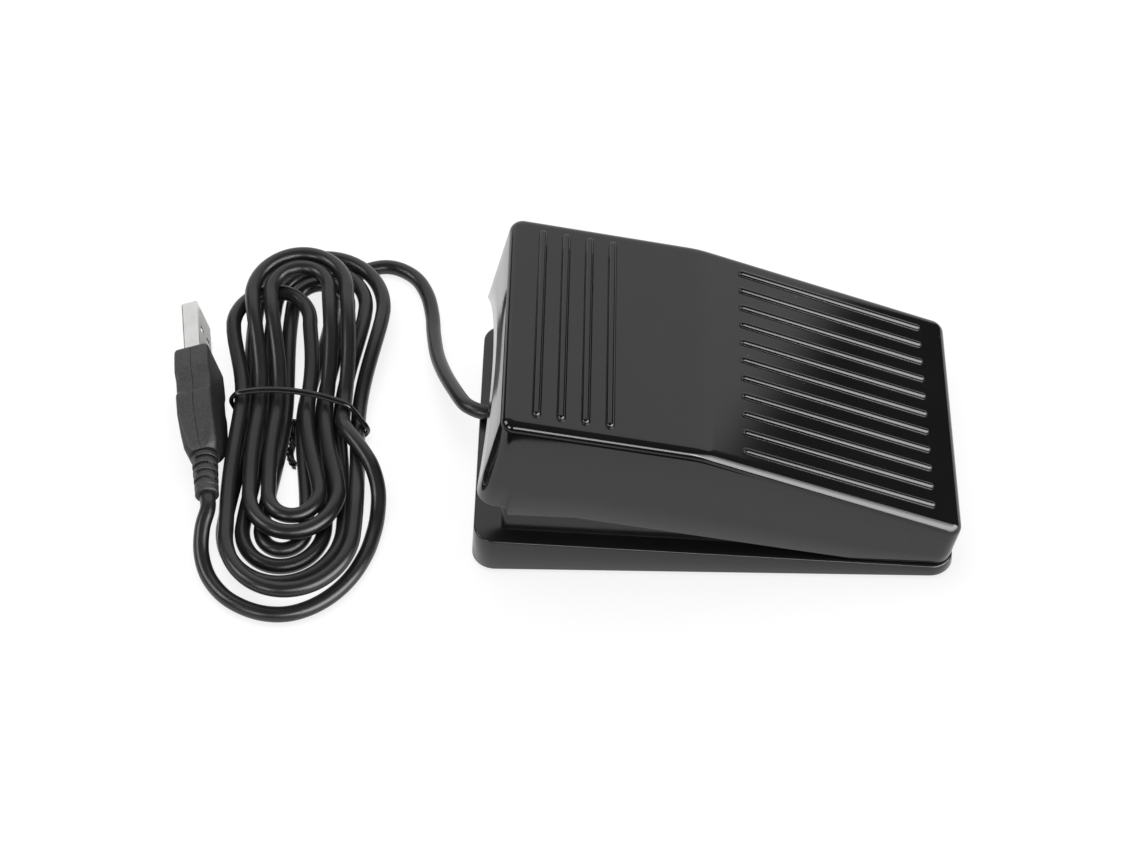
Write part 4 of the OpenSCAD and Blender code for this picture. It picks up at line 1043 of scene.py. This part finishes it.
def mould_ring(y, az, r=1.1, ax=mould_half):
    """Rounded section of the overmould with the mould's seam cut in its two narrow sides"""
    ring = []
    for cx, cz, start in quarters:
        ring += quarter(y, ax, az, r, cx, cz, start, 6)
        if start in (0, 180):
            ring += [(s * cx * seam_half, y, cz * (az - d)) for s, d in ((1, 0), (0, seam_deep), (-1, 0))]
    return ring


# Each section: place along the plug, half height, corner radius and half width where they differ from most
mould_sections = [(0, 6.6, 0.9, 3.9), (-0.12, 6.95, 1.0, 4.25), (-0.45, 7.25, 1.1, 4.52),
                  (-1.0, 7.42, 1.1, 4.64), (-4.5, 7.75), (-8.0, 7.98), (-8.7, 7.8), (-10.5, 6.98),
                  (-11.2, 6.88), (-14.6, 6.88), (-15.2, 7.05), (-16.4, 7.86), (-17.0, 7.98), (-22.6, 7.7),
                  (-23.6, 7.4, 1.2), (-28.0, 6.1, 1.6, 4.62), (-31.2, 4.9, 2.2, 4.5), (-32.4, 4.3, 2.4, 4.1),
                  (-33.0, 3.7, 2.4, 3.6)]
grained_black = finish("grained_black", (0.038, 0.038, 0.039), (0.42, 0.54), patch=0.7, change=0.4, grain=0.3,
                       depth=0.05)
mould_rings = [[in_plug(p) for p in mould_ring(*section)] for section in mould_sections]
overmould = make("plug_grip", loft(mould_rings, caps=True), grained_black, "base",
                 ["plug_overmould"], sharp=28)

relief_rings, relief_sides, relief_pitch, relief_core = 5, 48, 2.35, 2.6
relief_start, ring_r, ring_taper, ring_wide, ring_edge = -33.2, 3.4, 0.08, 1.4, 0.12
bridge_half, bridge_low, bridge_under = 0.75, 2.4, 0.1
relief_steps = [(relief_core, -32.6)]
bridges = []
for i in range(relief_rings):
    r, y = ring_r - ring_taper * i, relief_start - relief_pitch * i
    relief_steps += [(relief_core, y), (r - ring_edge, y - 0.02), (r, y - 0.15), (r, y - 1.25),
                     (r - ring_edge, y - 1.38), (relief_core, y - ring_wide)]
    for turn in ((45, 225) if i % 2 else (135, 315)):
        a = math.radians(turn)
        high = r - bridge_under
        section = [(d * math.cos(a) - s * math.sin(a), d * math.sin(a) + s * math.cos(a))
                   for d, s in ((bridge_low, -bridge_half), (high, -bridge_half), (high, bridge_half),
                                (bridge_low, bridge_half))]
        bridges.append(loft([[in_plug((x, end, z)) for x, z in section]
                             for end in (y - ring_wide + 0.1, y - relief_pitch - 0.1)], caps=True))
relief_steps += [(relief_core, -44.0), (3.02, -44.05), (3.05, -45.7), (2.7, -relief_end), (2.05, -relief_end)]
relief_form = loft([[in_plug((x, y, z)) for x, z in circle(r, relief_sides)] for r, y in relief_steps],
                   caps=True)
relief = make("plug_strain_relief", joined(relief_form, *bridges), grained_black, "base",
              ["plug_relief"])

shell_x, shell_z, shell_sheet, shell_round = 2.25, 6.0, 0.3, 0.55
window_y0, window_size, window_z = 7.65, 2.4, 2.52


def shell_ring(y, inset):
    """Section of the folded shell, with places kept at the windows' edges on its broad sides"""
    ax, az, r = shell_x - inset, shell_z - inset, shell_round - inset * 0.8
    low, high = window_z - window_size / 2, window_z + window_size / 2
    ring = []
    for cx, cz, start in quarters:
        ring += quarter(y, ax, az, r, cx, cz, start, 4)
        if start in (90, 270):
            ring += [(cx * ax, y, cz * z) for z in (high, low, -low, -high)]
    return ring


mouth_y, mouth_draw = 16.85, 0.6
shell_ys = [-3.5, 0.0, window_y0, window_y0 + window_size, 16.4, mouth_y, 17.0]
mouth = [0.02 + (y - mouth_y) * mouth_draw if y >= mouth_y else 0.0 for y in shell_ys]
outer = [shell_ring(y, drawn) for y, drawn in zip(shell_ys, mouth)]
inner = [shell_ring(y, shell_sheet - drawn) for y, drawn in zip(shell_ys, mouth)]
n = len(outer[0])
tube_points = [in_plug(p) for ring in outer + inner for p in ring]
rows = len(shell_ys)
window_cells = {(2, 10), (2, 12), (2, 24), (2, 26)}
tube_faces = []
for i in range(rows - 1):
    for k in range(n):
        m = (k + 1) % n
        if (i, k) in window_cells:
            o, q = i * n, rows * n + i * n
            tube_faces += [(o + k, o + m, q + m, q + k), (o + n + k, o + n + m, q + n + m, q + n + k),
                           (o + k, o + n + k, q + n + k, q + k), (o + m, o + n + m, q + n + m, q + m)]
            continue
        p, q = i * n, (rows + i) * n
        tube_faces += [(p + k, p + m, p + n + m, p + n + k), (q + k, q + n + k, q + n + m, q + m)]
for k in range(n):
    m = (k + 1) % n
    p, q = (rows - 1) * n, (2 * rows - 1) * n
    tube_faces += [(p + k, p + m, q + m, q + k), (k, rows * n + k, rows * n + m, m)]
nickel = finish("nickel", (0.7, 0.7, 0.69), (0.2, 0.28), patch=4, change=0.06, grain=0.4, depth=0.0012,
                metal=1.0)
folded_shell = make("plug_folded_shell", (tube_points, tube_faces), nickel, "base",
                    ["plug_shell"])
for piece in (overmould, folded_shell):
    piece.modifiers.new("flat_faces", "WEIGHTED_NORMAL").keep_sharp = True
dress("plug_tongue", finish("tongue_white", (0.78, 0.78, 0.75), (0.35, 0.5), patch=3, change=0.04, grain=0.2,
                            depth=0.003))
dress("plug_contacts", finish("contact_gilt", (0.78, 0.56, 0.2), (0.18, 0.3), patch=1, change=0.08, grain=0.1,
                              depth=0.001, metal=1.0))
